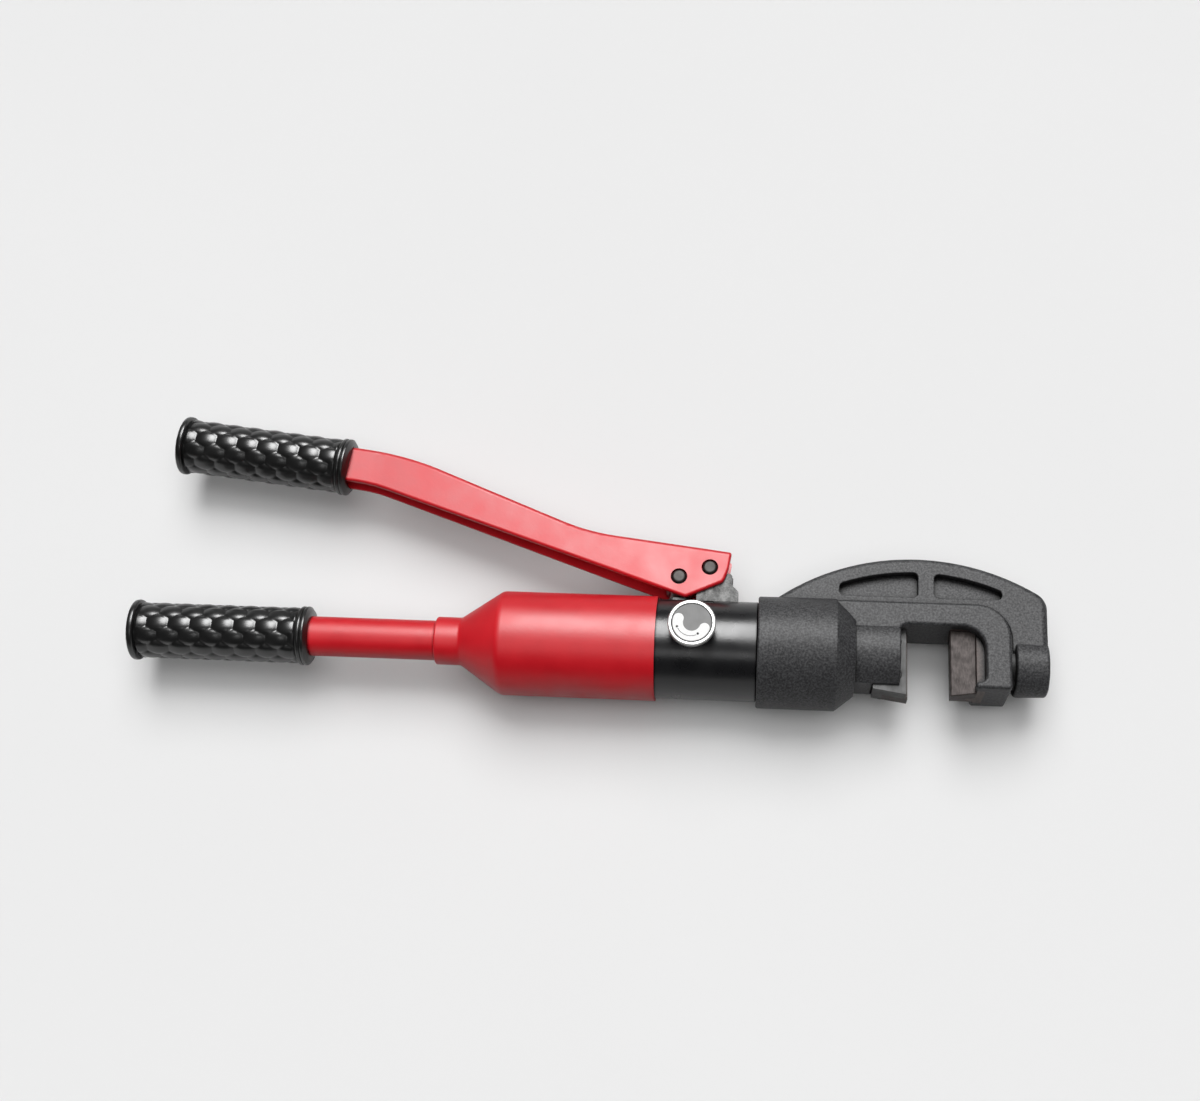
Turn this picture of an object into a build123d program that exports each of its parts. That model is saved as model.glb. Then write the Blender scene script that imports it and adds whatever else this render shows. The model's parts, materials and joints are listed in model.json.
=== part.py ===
from build123d import *
import os
from math import cos, degrees, atan2, hypot, radians, sin, sqrt, tan

# Hydraulic rebar cutter, in millimetres.
# X runs along the tool from the rear grip to the cutting head, Y towards the pump lever and
# Z out of the side with the release knob. The origin is on the tool's axis, where the oil
# tank meets the pump body. The lever is as the tool is laid down, and the ram is drawn back.

# Fits
RUNNING = 0.05              # radial clearance of pieces that slide or turn in one another
SEATED = 0.02               # radial clearance of pieces assembled in one another
PASSING = 0.4               # gap between pieces that pass each other
OVERRUN = 1.0               # cuts run this far past the faces that they open
EDGE = 0.6                  # small edge round

# Cylinder and ram
BORE_R = 24.0
ROD_R = 15.0
SPIGOT_WALL = 3.5           # head spigot, screwed into the pump body
SOCKET_WALL = 3.3           # pump body around that spigot
SOCKET_DEPTH = 12.0
BARREL_WALL = 10.5
BARREL_LENGTH = 47.7
BARREL_EDGE = 1.3
CONE_LENGTH = 11.4          # from the barrel down to the guide boss
CONE_STEP = 1.6             # the cone ends this much outside the boss
BORE_PAST_BARREL = 2.4      # the bore runs this far into the cone
PISTON_LENGTH = 11.0
PISTON_EDGE = 1.5
PISTON_GAP = 1.0            # oil space behind the piston when it is drawn back
PISTON_SEAL_DEPTH = 2.8
PISTON_SEAL_LENGTH = 4.0
HEAD_SEAL_SETBACK = 3.0     # seal behind the spigot's end
SPIGOT_PLAY = 0.2           # spigot to the socket's floor
SPRING_WIRE_R = 1.6
SPRING_TURNS = 6

# Guide boss and blade shoe
BOSS_WALL = 8.7
BOSS_LENGTH = 27.0
BOSS_FLAT = -20.6           # underside of the boss, cut flat
BOSS_EDGE = 1.0
SHOE_THICKNESS = 6.0
SHOE_HALF = 10.0            # half width of the shoe, across the shear plane
SHOE_PLAY = 0.5             # behind the shoe when it is drawn back
WIPER_LENGTH = 3.5
WIPER_DEPTH = 3.0
WIPER_SETBACK = 1.5         # from the wiper to the blade slot

# Blades, shear plane at z = 0
BLADE_DEPTH = 15.4          # along X
BLADE_THICKNESS = 10.0      # along Z
BLADE_BOTTOM = -26.5        # at the cutting edge
BLADE_FOOT_SLOPE = 8.5      # lower end rises away from the edge, degrees
BLADE_CHAMFER = 0.6
SHEAR_GAP = 0.05            # each blade's distance from the shear plane
BLADE_PROUD = 5.6           # moving blade past the boss when it is drawn back
JAW_OPENING = 24.8
LIP_SETBACK = 1.6           # lip behind the edge of the blade that is screwed to it
BLADE_SCREW_R = 2.5
BLADE_SCREW_HEAD_R = 4.25
BLADE_SCREW_HEAD = 5.0
BLADE_SCREW_REACH = 7.5     # thread in the blade
BLADE_SCREW_YS = (7.0, -14.0)

# C frame of the head
BAND_HALF = 19.5            # half thickness of the cheeks
BAND_WIDTH = 14.1           # over the mouth
LEG_WIDTH = 15.2
LEG_BOTTOM = -23.4
LEG_SETBACK = 4.9           # cheeks stand back from the blade seat
TOE_RISE = 4.0              # toe under the cheeks
TOE_REACH = 6.2
TOE_ROUND = 1.9
MOUTH_ROUND = 14.0          # mouth corner over the fixed blade
MOUTH_SMALL_ROUND = 5.0     # mouth corner at the boss
FOOT_ROUND = 4.2            # between toe and leg
BAND_ROUND = 20.0           # outer corner of the cheeks
BAND_EDGE = 1.8             # rounded edges of the cheeks
BAND_INTO_CONE = 10.0       # cheeks start this far inside the barrel
BAND_GROOVE = 1.6           # recess in the arch along the outside of the cheeks
BAND_GROOVE_DEPTH = 1.2
SEAT_HALF = 12.0            # half width of the machined blade seat
SEAT_DROP = 2.4             # seat below the mouth's ceiling
WEB_HALF = 13.0             # half thickness of the arch
WEB_EDGE = 4.0
ARCH_RISE = 31.4            # arch above the cheeks at its highest
ARCH_PEAK_PAST_MOUTH = 13.0
ARCH_END_RISE = 7.5         # arch above the cheeks at the nose end
ARCH_CORNER = 12.0
ARCH_REAR_PAST_BARREL = 8.0
ARCH_REAR_DROP = 4.5        # arch starts this far below the barrel's top
POCKET_DEPTH = 6.0
POCKET_RIM = 9.8            # web left above the pockets
POCKET_SILL = 5.2           # web left below the pockets
POCKET_ROUND = 3.2
POST_HALF = 4.8             # web left between the pockets
POST_PAST_MOUTH = 16.0
POCKET_REAR_LENGTH = 48.0
POCKET_FRONT_LENGTH = 41.0
NOSE_LENGTH = 23.0          # from the leg, flush with the end of the arch
NOSE_R = 17.0
NOSE_Y = -4.5               # level with the middle of the fixed blade
NOSE_DRAFT = 0.6
NOSE_ROUND = 2.0
NOSE_GAP = 3.0              # neck between leg and nose
NOSE_NECK_R = 13.0

# Pump body, tank and handle
PUMP_FLAT = 2.3             # depth of the flat on the lever side
FLAT_SETBACK = 3.0          # flat starts this far from the tank
BRACKET_MARGIN = 0.7        # flat left ahead of the bracket
SOCKET_EDGE = 0.8
TANK_STEP = 1.7             # tank wider than the pump body
TANK_WALL = 2.6
TANK_LENGTH = 96.6
TANK_SHOULDER = 26.0
TANK_SHOULDER_ROUND = 7.0
TANK_THREAD = 14.0
TANK_THREAD_STEP = 1.8      # pump body stepped in under the tank
TANK_SEAL_X = -2.2
TANK_END_WALL = 3.5         # behind the oil, in front of the tube
NECK_R = 15.0
NECK_LENGTH = 15.9
NECK_EDGE = 1.2
NECK_ROUND = 3.0
TUBE_R = 12.5
TUBE_WALL = 2.5
TUBE_SOCKET = 14.5          # tube let into the neck
TUBE_SHOWN = 80.3           # between neck and grip
NIPPLE_R = 17.0             # pump body's neck for the bladder
NIPPLE_LENGTH = 16.0
BLADDER_WALL = 2.0
BLADDER_GAP = 3.4           # bladder to tank
BLADDER_REAR_GAP = 7.6
BLADDER_THROAT = 6.0        # slope from the bladder down to its cuff
BLADDER_ROUND = 8.0
CUFF_SETBACK = 3.0          # cuff behind the thread
CLAMP_WALL = 1.6
CLAMP_LENGTH = 7.0

# Grips
GRIP_LENGTH = 115.0
GRIP_R = 17.6
GRIP_FLANGE_R = 19.3
GRIP_FLANGE = 4.0
GRIP_RING_R = 18.6
GRIP_RING = 3.0
GRIP_GROOVE = 1.0           # groove between the rings
GRIP_GROOVE_DEPTH = 1.2
GRIP_EDGE = 0.9
GRIP_CAP = 5.0

# Pump lever, about its fulcrum
FULCRUM_X = 31.0
FULCRUM_RISE = 22.3         # above the pump body's flat
PLUNGER_PIN = (-19.0, -6.7)
PIN_R = 4.0
PIN_HEAD_R = 4.4
PIN_DOME = 0.4              # head stands out of the near plate
PIN_HEAD_ROUND = 1.4
PIN_SINK_R = 5.2            # recess round the head
PIN_SINK = 1.8
PIN_TAIL = 2.6              # pin past the far plate
CLIP_THICKNESS = 1.1
CLIP_WIDTH = 2.6
CLIP_GROOVE = 0.8           # depth of the groove for the clip
CLIP_MOUTH = 5.2            # the clip's open side
CLIP_PLAY = 0.1
LEVER_OPEN = 50.0           # swing away from the handle, degrees
LEVER_CLOSE = 8.0           # swing towards the handle, degrees
LEVER_SHEET = 3.0
LEVER_HALF = 12.0           # half width at the fulcrum
LEVER_TAIL_HALF = 8.5       # half width in the grip
LEVER_TAPER_START = -60.0
LEVER_TAPER_LEAD = 20.0     # taper ends this far ahead of the grip
TAPER_ROUND = 300.0
LEVER_EDGE = 3.2            # fold radius along the back
LEVER_RIM = 1.6             # rounded outer edges of the side plates
LEVER_NOSE = (13.4, 11.0)
LEVER_CHIN = (11.7, -0.8)
LEVER_JAW = (8.7, -9.2)
LEVER_HEEL = (-14.5, -19.9)
LEVER_BACK_BEND = (-77.5, 22.3)
LEVER_REACH = 237.9         # fulcrum to the front of the grip
LEVER_RISE = 66.1
TAIL_SLOPE = 6.57
TAIL_HALF = 12.0            # half height of the tail in the grip
TAIL_BACK_LEAD = 33.7       # bend of the back, ahead of the grip
TAIL_BELLY_LEAD = 16.4      # bend of the belly, ahead of the grip
BACK_ROUND = 140.0
TAIL_ROUND = 200.0
BELLY_ROUND = 110.0
HEEL_ROUND = 3.0
JAW_ROUND = 5.0
CHIN_ROUND = 6.0
FORK_START = 7.0            # the back is open from here to the nose

# Lever bracket
BRACKET_PLAY = 0.3          # to each side plate of the lever
BRACKET_FRONT = 18.2        # foot ahead of the fulcrum
BRACKET_FOOT = 7.8
BRACKET_WAIST = 14.2        # post ahead of the fulcrum
BRACKET_SHOULDER = 2.8      # post's front part below the fulcrum
BRACKET_ROUND = 2.5
EAR_R = 7.7
KEY_LENGTH = 7.0
KEY_HALF = 5.0
KEY_DEPTH = 4.0
BRACKET_SCREW_X = 9.6       # ahead of the fulcrum
BRACKET_SCREW_R = 3.0
BRACKET_SCREW_HEAD_R = 5.0
BRACKET_SCREW_HEAD = 6.0
BRACKET_SCREW_REACH = 13.0  # thread in the pump body

# Plunger and valves
PLUNGER_R = 6.0
PLUNGER_FOOT = 0.5
CHAMBER_FLOOR = -10.0
EYE_WALL = 3.0
EYE_HALF = 8.0              # half thickness of the eye
EYE_PLAY = 0.3              # slot height around the pin
GLAND_R = 8.3
GLAND_PROUD = 3.0
GLAND_LENGTH = 12.5
GLAND_FLATS = 0.8           # spanner flats inside the gland's radius
SEAL_NOTCH = 0.5            # half width of the notch in a cup seal
SEAL_LENGTH = 3.8
VALVE_Y = -6.0              # line of the suction and delivery valves
VALVE_R = 4.5
BALL_R = 3.2
PORT_R = 1.8
VALVE_SPRING_R = 2.6
VALVE_WIRE_R = 0.35
VALVE_TURNS = 5
SUCTION_SEAT_LENGTH = 18.0
SUCTION_SPRING_SEAT = 0.0   # X of the step behind the suction spring
DELIVERY_SEAT = 30.0        # X of the delivery ball's seat
DELIVERY_PLUG = 6.0
STRAINER_LENGTH = 6.0
STRAINER_WALL = 0.6
WAY_R = 1.5                 # drilled oil ways
WAY_Y = 2.0
RELIEF_X = 31.5
RELIEF_ANGLE = 30.0         # from Y towards Z, degrees
RELIEF_R = 3.2
RELIEF_BALL_R = 2.2
RELIEF_PORT_R = 1.2
RELIEF_SEAT = 13.0          # from the axis
RELIEF_SCREW = 7.0
RELIEF_SUNK = 0.6
HEX_DEPTH = 2.5             # key sockets

# Release valve
KNOB_X = 22.6
KNOB_Y = 2.6
KNOB_R = 14.5
KNOB_HEIGHT = 9.0
KNOB_DISC = 4.0             # thickness of the knob's disc, above its hub
KNOB_HUB_R = 9.0
KNOB_CLEARANCE = 5.2        # under the hub
KNOB_RIM = 1.9
KNOB_EDGE = 0.9
PLATE_THICKNESS = 1.0
PLATE_SUNK = 0.3
PLATE_EDGE = 0.2
STEM_R = 5.0
STEM_ROUND = 1.5
STEM_END_R = 4.0
STEM_END_LENGTH = 7.0       # inside the knob
RELEASE_SEAT = 11.0
RELEASE_BALL_R = 2.0
RELEASE_PORT_R = 1.3
RELEASE_NUT_R = 8.0
RELEASE_NUT_LENGTH = 12.0
RELEASE_FLANGE_R = 10.5
RELEASE_FLANGE = 4.0
SPOT_DEPTH = 0.8
SPOT_MARGIN = 1.0           # spot face round the flange
SET_SCREW_R = 2.0
SET_SCREW_SUNK = 0.5        # below the hub's surface
RETURN_WAY_Z = 13.0

# Round seal section
CORD_R = 0.9

# Stations along X, from the tank seam forward
PUMP_R = BORE_R + SPIGOT_WALL + SOCKET_WALL
PUMP_TOP = PUMP_R - PUMP_FLAT
TANK_R = PUMP_R + TANK_STEP
TANK_THREAD_R = PUMP_R - TANK_THREAD_STEP
SPIGOT_R = BORE_R + SPIGOT_WALL
BARREL_R = BORE_R + BARREL_WALL
BOSS_R = ROD_R + BOSS_WALL
SOCKET_X = FULCRUM_X + BRACKET_FRONT + BRACKET_MARGIN
BARREL_X = SOCKET_X + SOCKET_DEPTH
CONE_X = BARREL_X + BARREL_LENGTH
BOSS_X = CONE_X + CONE_LENGTH
MOUTH_X = BOSS_X + BOSS_LENGTH
EDGE_X = MOUTH_X + BLADE_PROUD
BLADE_BACK_X = EDGE_X - BLADE_DEPTH
SHOE_X = BLADE_BACK_X - SHOE_THICKNESS
SLOT_X = SHOE_X - SHOE_PLAY
LIP_LENGTH = BLADE_DEPTH - LIP_SETBACK
FIXED_EDGE_X = EDGE_X + JAW_OPENING
SEAT_X = FIXED_EDGE_X + BLADE_DEPTH
LEG_X = SEAT_X + LEG_SETBACK
NOSE_REAR_X = LEG_X + LEG_WIDTH
NOSE_X = NOSE_REAR_X + NOSE_LENGTH
BAND_REAR_X = CONE_X - BAND_INTO_CONE
BORE_END_X = CONE_X + BORE_PAST_BARREL
PISTON_X = SOCKET_X + PISTON_GAP
PISTON_FRONT_X = PISTON_X + PISTON_LENGTH
HEAD_SEAL_X = SOCKET_X + HEAD_SEAL_SETBACK

# Heights of the C frame
CEILING = ROD_R + PASSING
BAND_TOP = CEILING + BAND_WIDTH

# Stations behind the seam
NIPPLE_END_X = -TANK_THREAD - NIPPLE_LENGTH
TANK_REAR_X = -TANK_LENGTH
SHOULDER_X = TANK_REAR_X - TANK_SHOULDER
NECK_X = SHOULDER_X - NECK_LENGTH
TUBE_FRONT_X = NECK_X + TUBE_SOCKET
GRIP_FRONT_X = NECK_X - TUBE_SHOWN
TUBE_REAR_X = GRIP_FRONT_X - GRIP_LENGTH + GRIP_CAP

# Lever linkage
FULCRUM = Vector(FULCRUM_X, PUMP_TOP + FULCRUM_RISE)
PIN_ARM = hypot(*PLUNGER_PIN)
PIN_ANGLE = degrees(atan2(-PLUNGER_PIN[1], -PLUNGER_PIN[0]))
PIN_Y = FULCRUM.Y + PLUNGER_PIN[1]
PIN_SWING = max(LEVER_OPEN - PIN_ANGLE, LEVER_CLOSE + PIN_ANGLE)
SLOT_TRAVEL = PIN_ARM * (1 - cos(radians(PIN_SWING)))
PLUNGER_X = FULCRUM_X - PIN_ARM + SLOT_TRAVEL / 2
BRACKET_HALF = LEVER_HALF - LEVER_SHEET - BRACKET_PLAY

# Release valve stations along Z
SPOT_Z = PUMP_R - SPOT_DEPTH
KNOB_Z = PUMP_R + KNOB_CLEARANCE
KNOB_TOP_Z = KNOB_Z + KNOB_HEIGHT
DISC_Z = KNOB_TOP_Z - KNOB_DISC
SET_SCREW_Z = (KNOB_Z + DISC_Z) / 2
RELEASE_PLACE = Pos(KNOB_X, KNOB_Y, 0)

ALONG_X = Rot(0, 90, 0)
ALONG_Y = Rot(-90, 0, 0)


def outline(*corners):
    """Closed face through corners (x, y), or (x, y, radius) where the corner is rounded."""
    face = make_face(Polyline(*[(c[0], c[1]) for c in corners], close=True))
    for corner in corners:
        if len(corner) == 3:
            point = face.vertices().sort_by_distance((corner[0], corner[1]))[0]
            face = fillet(point, corner[2])
    return face


def spun(*corners):
    """Solid turned about Z from a profile of corners (radius, height)."""
    return revolve(Plane.XZ * outline(*corners), Axis.Z)


def ring(inner, outer, low, high):
    return spun((inner, low), (outer, low), (outer, high), (inner, high))


def round_seal(radius, height, section):
    return Pos(0, 0, height) * Torus(radius, section)


def rod(radius, start, end):
    """Round bar between two points."""
    axis = Vector(end) - Vector(start)
    return extrude(Plane(start, z_dir=axis) * Circle(radius), axis.length)


def x_rod(radius, start, end, y=0, z=0):
    return rod(radius, (start, y, z), (end, y, z))


def block(x0, x1, y0, y1, z0, z1):
    centre = Pos((x0 + x1) / 2, (y0 + y1) / 2, (z0 + z1) / 2)
    return centre * Box(x1 - x0, y1 - y0, z1 - z0)


def plate(face, low, high):
    """Face in the XY plane, thickened from z = low to z = high."""
    return extrude(Pos(0, 0, low) * face, high - low)


def coil(radius, wire, length, turns):
    """Compression spring along Z that fills 0 to length."""
    rise = length - 2 * wire
    path = Helix(rise / turns, rise, radius)
    section = Plane(path @ 0, z_dir=path % 0) * Circle(wire)
    return Pos(0, 0, wire) * sweep(section, path, is_frenet=True)


def ball_rest(ball, port):
    """Distance of a ball's centre from the rim of the port that it closes."""
    return sqrt(ball**2 - port**2)


def coil_start(ball, radius, wire):
    """Distance from a ball's centre to the end of the spring that presses on it."""
    return sqrt((ball + wire)**2 - radius**2) - wire


# Tank and handle

def oil_tank():
    inner = TANK_R - TANK_WALL
    slope = (TANK_R - NECK_R) / TANK_SHOULDER
    lean = TANK_WALL * hypot(1, slope)
    wall_x = TUBE_FRONT_X + TANK_END_WALL
    wall_r = NECK_R + slope * (wall_x - SHOULDER_X) - lean
    shoulder_x = SHOULDER_X + (inner + lean - NECK_R) / slope
    shell = spun(
        (TUBE_R + SEATED, NECK_X),
        (NECK_R, NECK_X, NECK_EDGE),
        (NECK_R, SHOULDER_X, NECK_ROUND),
        (TANK_R, TANK_REAR_X, TANK_SHOULDER_ROUND),
        (TANK_R, 0),
        (TANK_THREAD_R + SEATED, 0),
        (TANK_THREAD_R + SEATED, -TANK_THREAD),
        (inner, -TANK_THREAD),
        (inner, shoulder_x),
        (wall_r, wall_x),
        (0, wall_x),
        (0, TUBE_FRONT_X),
        (TUBE_R + SEATED, TUBE_FRONT_X),
    )
    return ALONG_X * shell


def handle_tube():
    return ALONG_X * ring(TUBE_R - TUBE_WALL, TUBE_R, TUBE_REAR_X, TUBE_FRONT_X)


def grip_body():
    """Moulded grip along Z from its front end, with two rings in front and a flange behind."""
    groove_r = GRIP_RING_R - GRIP_GROOVE_DEPTH
    second = GRIP_RING + GRIP_GROOVE
    flange = GRIP_LENGTH - GRIP_FLANGE
    return spun(
        (0, 0),
        (GRIP_RING_R, 0, GRIP_EDGE),
        (GRIP_RING_R, GRIP_RING, GRIP_EDGE),
        (groove_r, GRIP_RING),
        (groove_r, second),
        (GRIP_RING_R, second, GRIP_EDGE),
        (GRIP_RING_R, second + GRIP_RING, GRIP_EDGE),
        (GRIP_R, second + GRIP_RING),
        (GRIP_R, flange),
        (GRIP_FLANGE_R, flange, GRIP_EDGE),
        (GRIP_FLANGE_R, GRIP_LENGTH, GRIP_EDGE),
        (0, GRIP_LENGTH),
    )


def rear_grip():
    place = Plane((GRIP_FRONT_X, 0, 0), x_dir=(0, 0, 1), z_dir=(-1, 0, 0))
    return place * grip_body() - x_rod(TUBE_R + SEATED, TUBE_REAR_X, GRIP_FRONT_X)


def oil_bladder():
    outer = TANK_R - TANK_WALL - BLADDER_GAP
    rear = TANK_REAR_X + BLADDER_REAR_GAP
    front = NIPPLE_END_X - BLADDER_THROAT
    cuff_r = NIPPLE_R + BLADDER_WALL
    cuff_front = -TANK_THREAD - CUFF_SETBACK
    skin = spun(
        (0, rear),
        (outer, rear, BLADDER_ROUND),
        (outer, front, BLADDER_ROUND / 2),
        (cuff_r, NIPPLE_END_X),
        (cuff_r, cuff_front),
        (NIPPLE_R + SEATED, cuff_front),
        (NIPPLE_R + SEATED, NIPPLE_END_X - EDGE),
        (outer - BLADDER_WALL, front - EDGE, BLADDER_ROUND / 2 - EDGE),
        (outer - BLADDER_WALL, rear + BLADDER_WALL, BLADDER_ROUND - BLADDER_WALL),
        (0, rear + BLADDER_WALL),
    )
    return ALONG_X * skin


def bladder_clamp():
    cuff_r = NIPPLE_R + BLADDER_WALL + SEATED
    low = (NIPPLE_END_X - TANK_THREAD - CUFF_SETBACK - CLAMP_LENGTH) / 2
    return ALONG_X * ring(cuff_r, cuff_r + CLAMP_WALL, low, low + CLAMP_LENGTH)


def tank_seal():
    return ALONG_X * round_seal(TANK_THREAD_R - CORD_R, TANK_SEAL_X, CORD_R)


# Pump body and its valves

def valve_bores():
    """Bores and oil ways drilled in the pump body."""
    ear_key = block(
        FULCRUM_X - KEY_LENGTH, FULCRUM_X, PUMP_TOP - KEY_DEPTH - SEATED, PUMP_TOP + OVERRUN,
        -KEY_HALF - SEATED, KEY_HALF + SEATED,
    )
    screw_x = FULCRUM_X + BRACKET_SCREW_X
    relief = relief_place()
    bores = [
        rod(PLUNGER_R + RUNNING, (PLUNGER_X, CHAMBER_FLOOR, 0), (PLUNGER_X, PUMP_TOP + OVERRUN, 0)),
        rod(GLAND_R + SEATED, (PLUNGER_X, gland_floor(), 0), (PLUNGER_X, PUMP_TOP + OVERRUN, 0)),
        x_rod(VALVE_R + SEATED, NIPPLE_END_X - OVERRUN, SUCTION_SPRING_SEAT, VALVE_Y),
        x_rod(PORT_R, SUCTION_SPRING_SEAT - OVERRUN, PLUNGER_X, VALVE_Y),
        x_rod(PORT_R, PLUNGER_X, DELIVERY_SEAT + OVERRUN, VALVE_Y),
        x_rod(VALVE_R + SEATED, DELIVERY_SEAT, SOCKET_X + OVERRUN, VALVE_Y),
        x_rod(WAY_R, KNOB_X, SOCKET_X + OVERRUN, WAY_Y),
        x_rod(WAY_R, NIPPLE_END_X - OVERRUN, KNOB_X, KNOB_Y, RETURN_WAY_Z),
        relief * rod(RELIEF_PORT_R, (0, 0, WAY_Y), (0, 0, RELIEF_SEAT + OVERRUN)),
        relief * rod(RELIEF_R + SEATED, (0, 0, RELIEF_SEAT), (0, 0, PUMP_R + OVERRUN)),
        RELEASE_PLACE * rod(RELEASE_PORT_R, (0, 0, 0), (0, 0, RELEASE_SEAT + OVERRUN)),
        RELEASE_PLACE * rod(STEM_R + RUNNING, (0, 0, RELEASE_SEAT), (0, 0, SPOT_Z)),
        RELEASE_PLACE * rod(RELEASE_NUT_R + SEATED, (0, 0, SPOT_Z - RELEASE_NUT_LENGTH), (0, 0, SPOT_Z)),
        RELEASE_PLACE * rod(RELEASE_FLANGE_R + SPOT_MARGIN, (0, 0, SPOT_Z), (0, 0, PUMP_R + OVERRUN)),
        rod(BRACKET_SCREW_R + SEATED, (screw_x, PUMP_TOP - BRACKET_SCREW_REACH - OVERRUN, 0),
            (screw_x, PUMP_TOP + OVERRUN, 0)),
        ear_key,
    ]
    return bores


def pump_body():
    groove = TANK_THREAD_R - 2 * CORD_R
    body = ALONG_X * spun(
        (0, NIPPLE_END_X),
        (NIPPLE_R, NIPPLE_END_X, EDGE),
        (NIPPLE_R, -TANK_THREAD),
        (TANK_THREAD_R, -TANK_THREAD),
        (TANK_THREAD_R, TANK_SEAL_X - CORD_R),
        (groove, TANK_SEAL_X - CORD_R),
        (groove, TANK_SEAL_X + CORD_R),
        (TANK_THREAD_R, TANK_SEAL_X + CORD_R),
        (TANK_THREAD_R, 0),
        (PUMP_R, 0),
        (PUMP_R, BARREL_X, SOCKET_EDGE),
        (SPIGOT_R + SEATED, BARREL_X),
        (SPIGOT_R + SEATED, SOCKET_X),
        (0, SOCKET_X),
    )
    body -= block(FLAT_SETBACK, SOCKET_X, PUMP_TOP, PUMP_R + OVERRUN, -PUMP_R, PUMP_R)
    return body - valve_bores()


def gland_floor():
    return PUMP_TOP + GLAND_PROUD - GLAND_LENGTH - SEAL_LENGTH


def plunger_gland():
    top = PUMP_TOP + GLAND_PROUD
    nut = ring(PLUNGER_R + RUNNING, GLAND_R, top - GLAND_LENGTH, top)
    spanner = Plane.XY.offset(top - GLAND_PROUD) * (
        Circle(GLAND_R + OVERRUN) - RegularPolygon(GLAND_R - GLAND_FLATS, 6, major_radius=False)
    )
    nut -= extrude(spanner, GLAND_PROUD + OVERRUN)
    return Pos(PLUNGER_X, 0, 0) * ALONG_Y * nut


def plunger_seal():
    floor = gland_floor()
    middle = (PLUNGER_R + GLAND_R) / 2
    cup = spun(
        (PLUNGER_R + RUNNING, floor),
        (middle - SEAL_NOTCH, floor),
        (middle, floor + SEAL_LENGTH / 2),
        (middle + SEAL_NOTCH, floor),
        (GLAND_R, floor),
        (GLAND_R, floor + SEAL_LENGTH),
        (PLUNGER_R + RUNNING, floor + SEAL_LENGTH),
    )
    return Pos(PLUNGER_X, 0, 0) * ALONG_Y * cup


def suction_seat():
    end = NIPPLE_END_X + SUCTION_SEAT_LENGTH
    return Pos(0, VALVE_Y, 0) * ALONG_X * ring(PORT_R, VALVE_R, NIPPLE_END_X, end)


def suction_strainer():
    cup = spun(
        (0, NIPPLE_END_X - STRAINER_LENGTH),
        (VALVE_R, NIPPLE_END_X - STRAINER_LENGTH, EDGE),
        (VALVE_R, NIPPLE_END_X),
        (VALVE_R - STRAINER_WALL, NIPPLE_END_X),
        (VALVE_R - STRAINER_WALL, NIPPLE_END_X - STRAINER_LENGTH + STRAINER_WALL),
        (0, NIPPLE_END_X - STRAINER_LENGTH + STRAINER_WALL),
    )
    return Pos(0, VALVE_Y, 0) * ALONG_X * cup


def suction_ball_x():
    return NIPPLE_END_X + SUCTION_SEAT_LENGTH + ball_rest(BALL_R, PORT_R)


def suction_ball():
    return Pos(suction_ball_x(), VALVE_Y, 0) * Sphere(BALL_R)


def valve_spring(start, end):
    spring = coil(VALVE_SPRING_R, VALVE_WIRE_R, end - start, VALVE_TURNS)
    return Pos(start, VALVE_Y, 0) * ALONG_X * spring


def suction_spring():
    start = suction_ball_x() + coil_start(BALL_R, VALVE_SPRING_R, VALVE_WIRE_R)
    return valve_spring(start, SUCTION_SPRING_SEAT)


def delivery_ball_x():
    return DELIVERY_SEAT + ball_rest(BALL_R, PORT_R)


def delivery_ball():
    return Pos(delivery_ball_x(), VALVE_Y, 0) * Sphere(BALL_R)


def delivery_spring():
    start = delivery_ball_x() + coil_start(BALL_R, VALVE_SPRING_R, VALVE_WIRE_R)
    return valve_spring(start, SOCKET_X - DELIVERY_PLUG)


def delivery_plug():
    plug = ring(PORT_R, VALVE_R, SOCKET_X - DELIVERY_PLUG, SOCKET_X)
    return Pos(0, VALVE_Y, 0) * ALONG_X * plug


def relief_place():
    """Frame of the relief valve, its Z pointing out of the pump body."""
    angle = radians(RELIEF_ANGLE)
    return Plane((RELIEF_X, 0, 0), x_dir=(1, 0, 0), z_dir=(0, cos(angle), sin(angle)))


def relief_ball_height():
    return RELIEF_SEAT + ball_rest(RELIEF_BALL_R, RELIEF_PORT_R)


def relief_ball():
    return relief_place() * Pos(0, 0, relief_ball_height()) * Sphere(RELIEF_BALL_R)


def relief_screw_foot():
    return PUMP_R - RELIEF_SUNK - RELIEF_SCREW


def relief_spring():
    radius = RELIEF_BALL_R - VALVE_WIRE_R / 2
    start = relief_ball_height() + coil_start(RELIEF_BALL_R, radius, VALVE_WIRE_R)
    spring = coil(radius, VALVE_WIRE_R, relief_screw_foot() - start, VALVE_TURNS)
    return relief_place() * Pos(0, 0, start) * spring


def relief_screw():
    foot = relief_screw_foot()
    top = foot + RELIEF_SCREW
    screw = spun((0, foot), (RELIEF_R, foot), (RELIEF_R, top, EDGE), (0, top))
    return relief_place() * (screw - hex_socket(RELIEF_R / 2, top))


def hex_socket(half_flats, top):
    return extrude(Pos(0, 0, top) * RegularPolygon(half_flats, 6, major_radius=False), -HEX_DEPTH)


# Lever bracket

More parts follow.
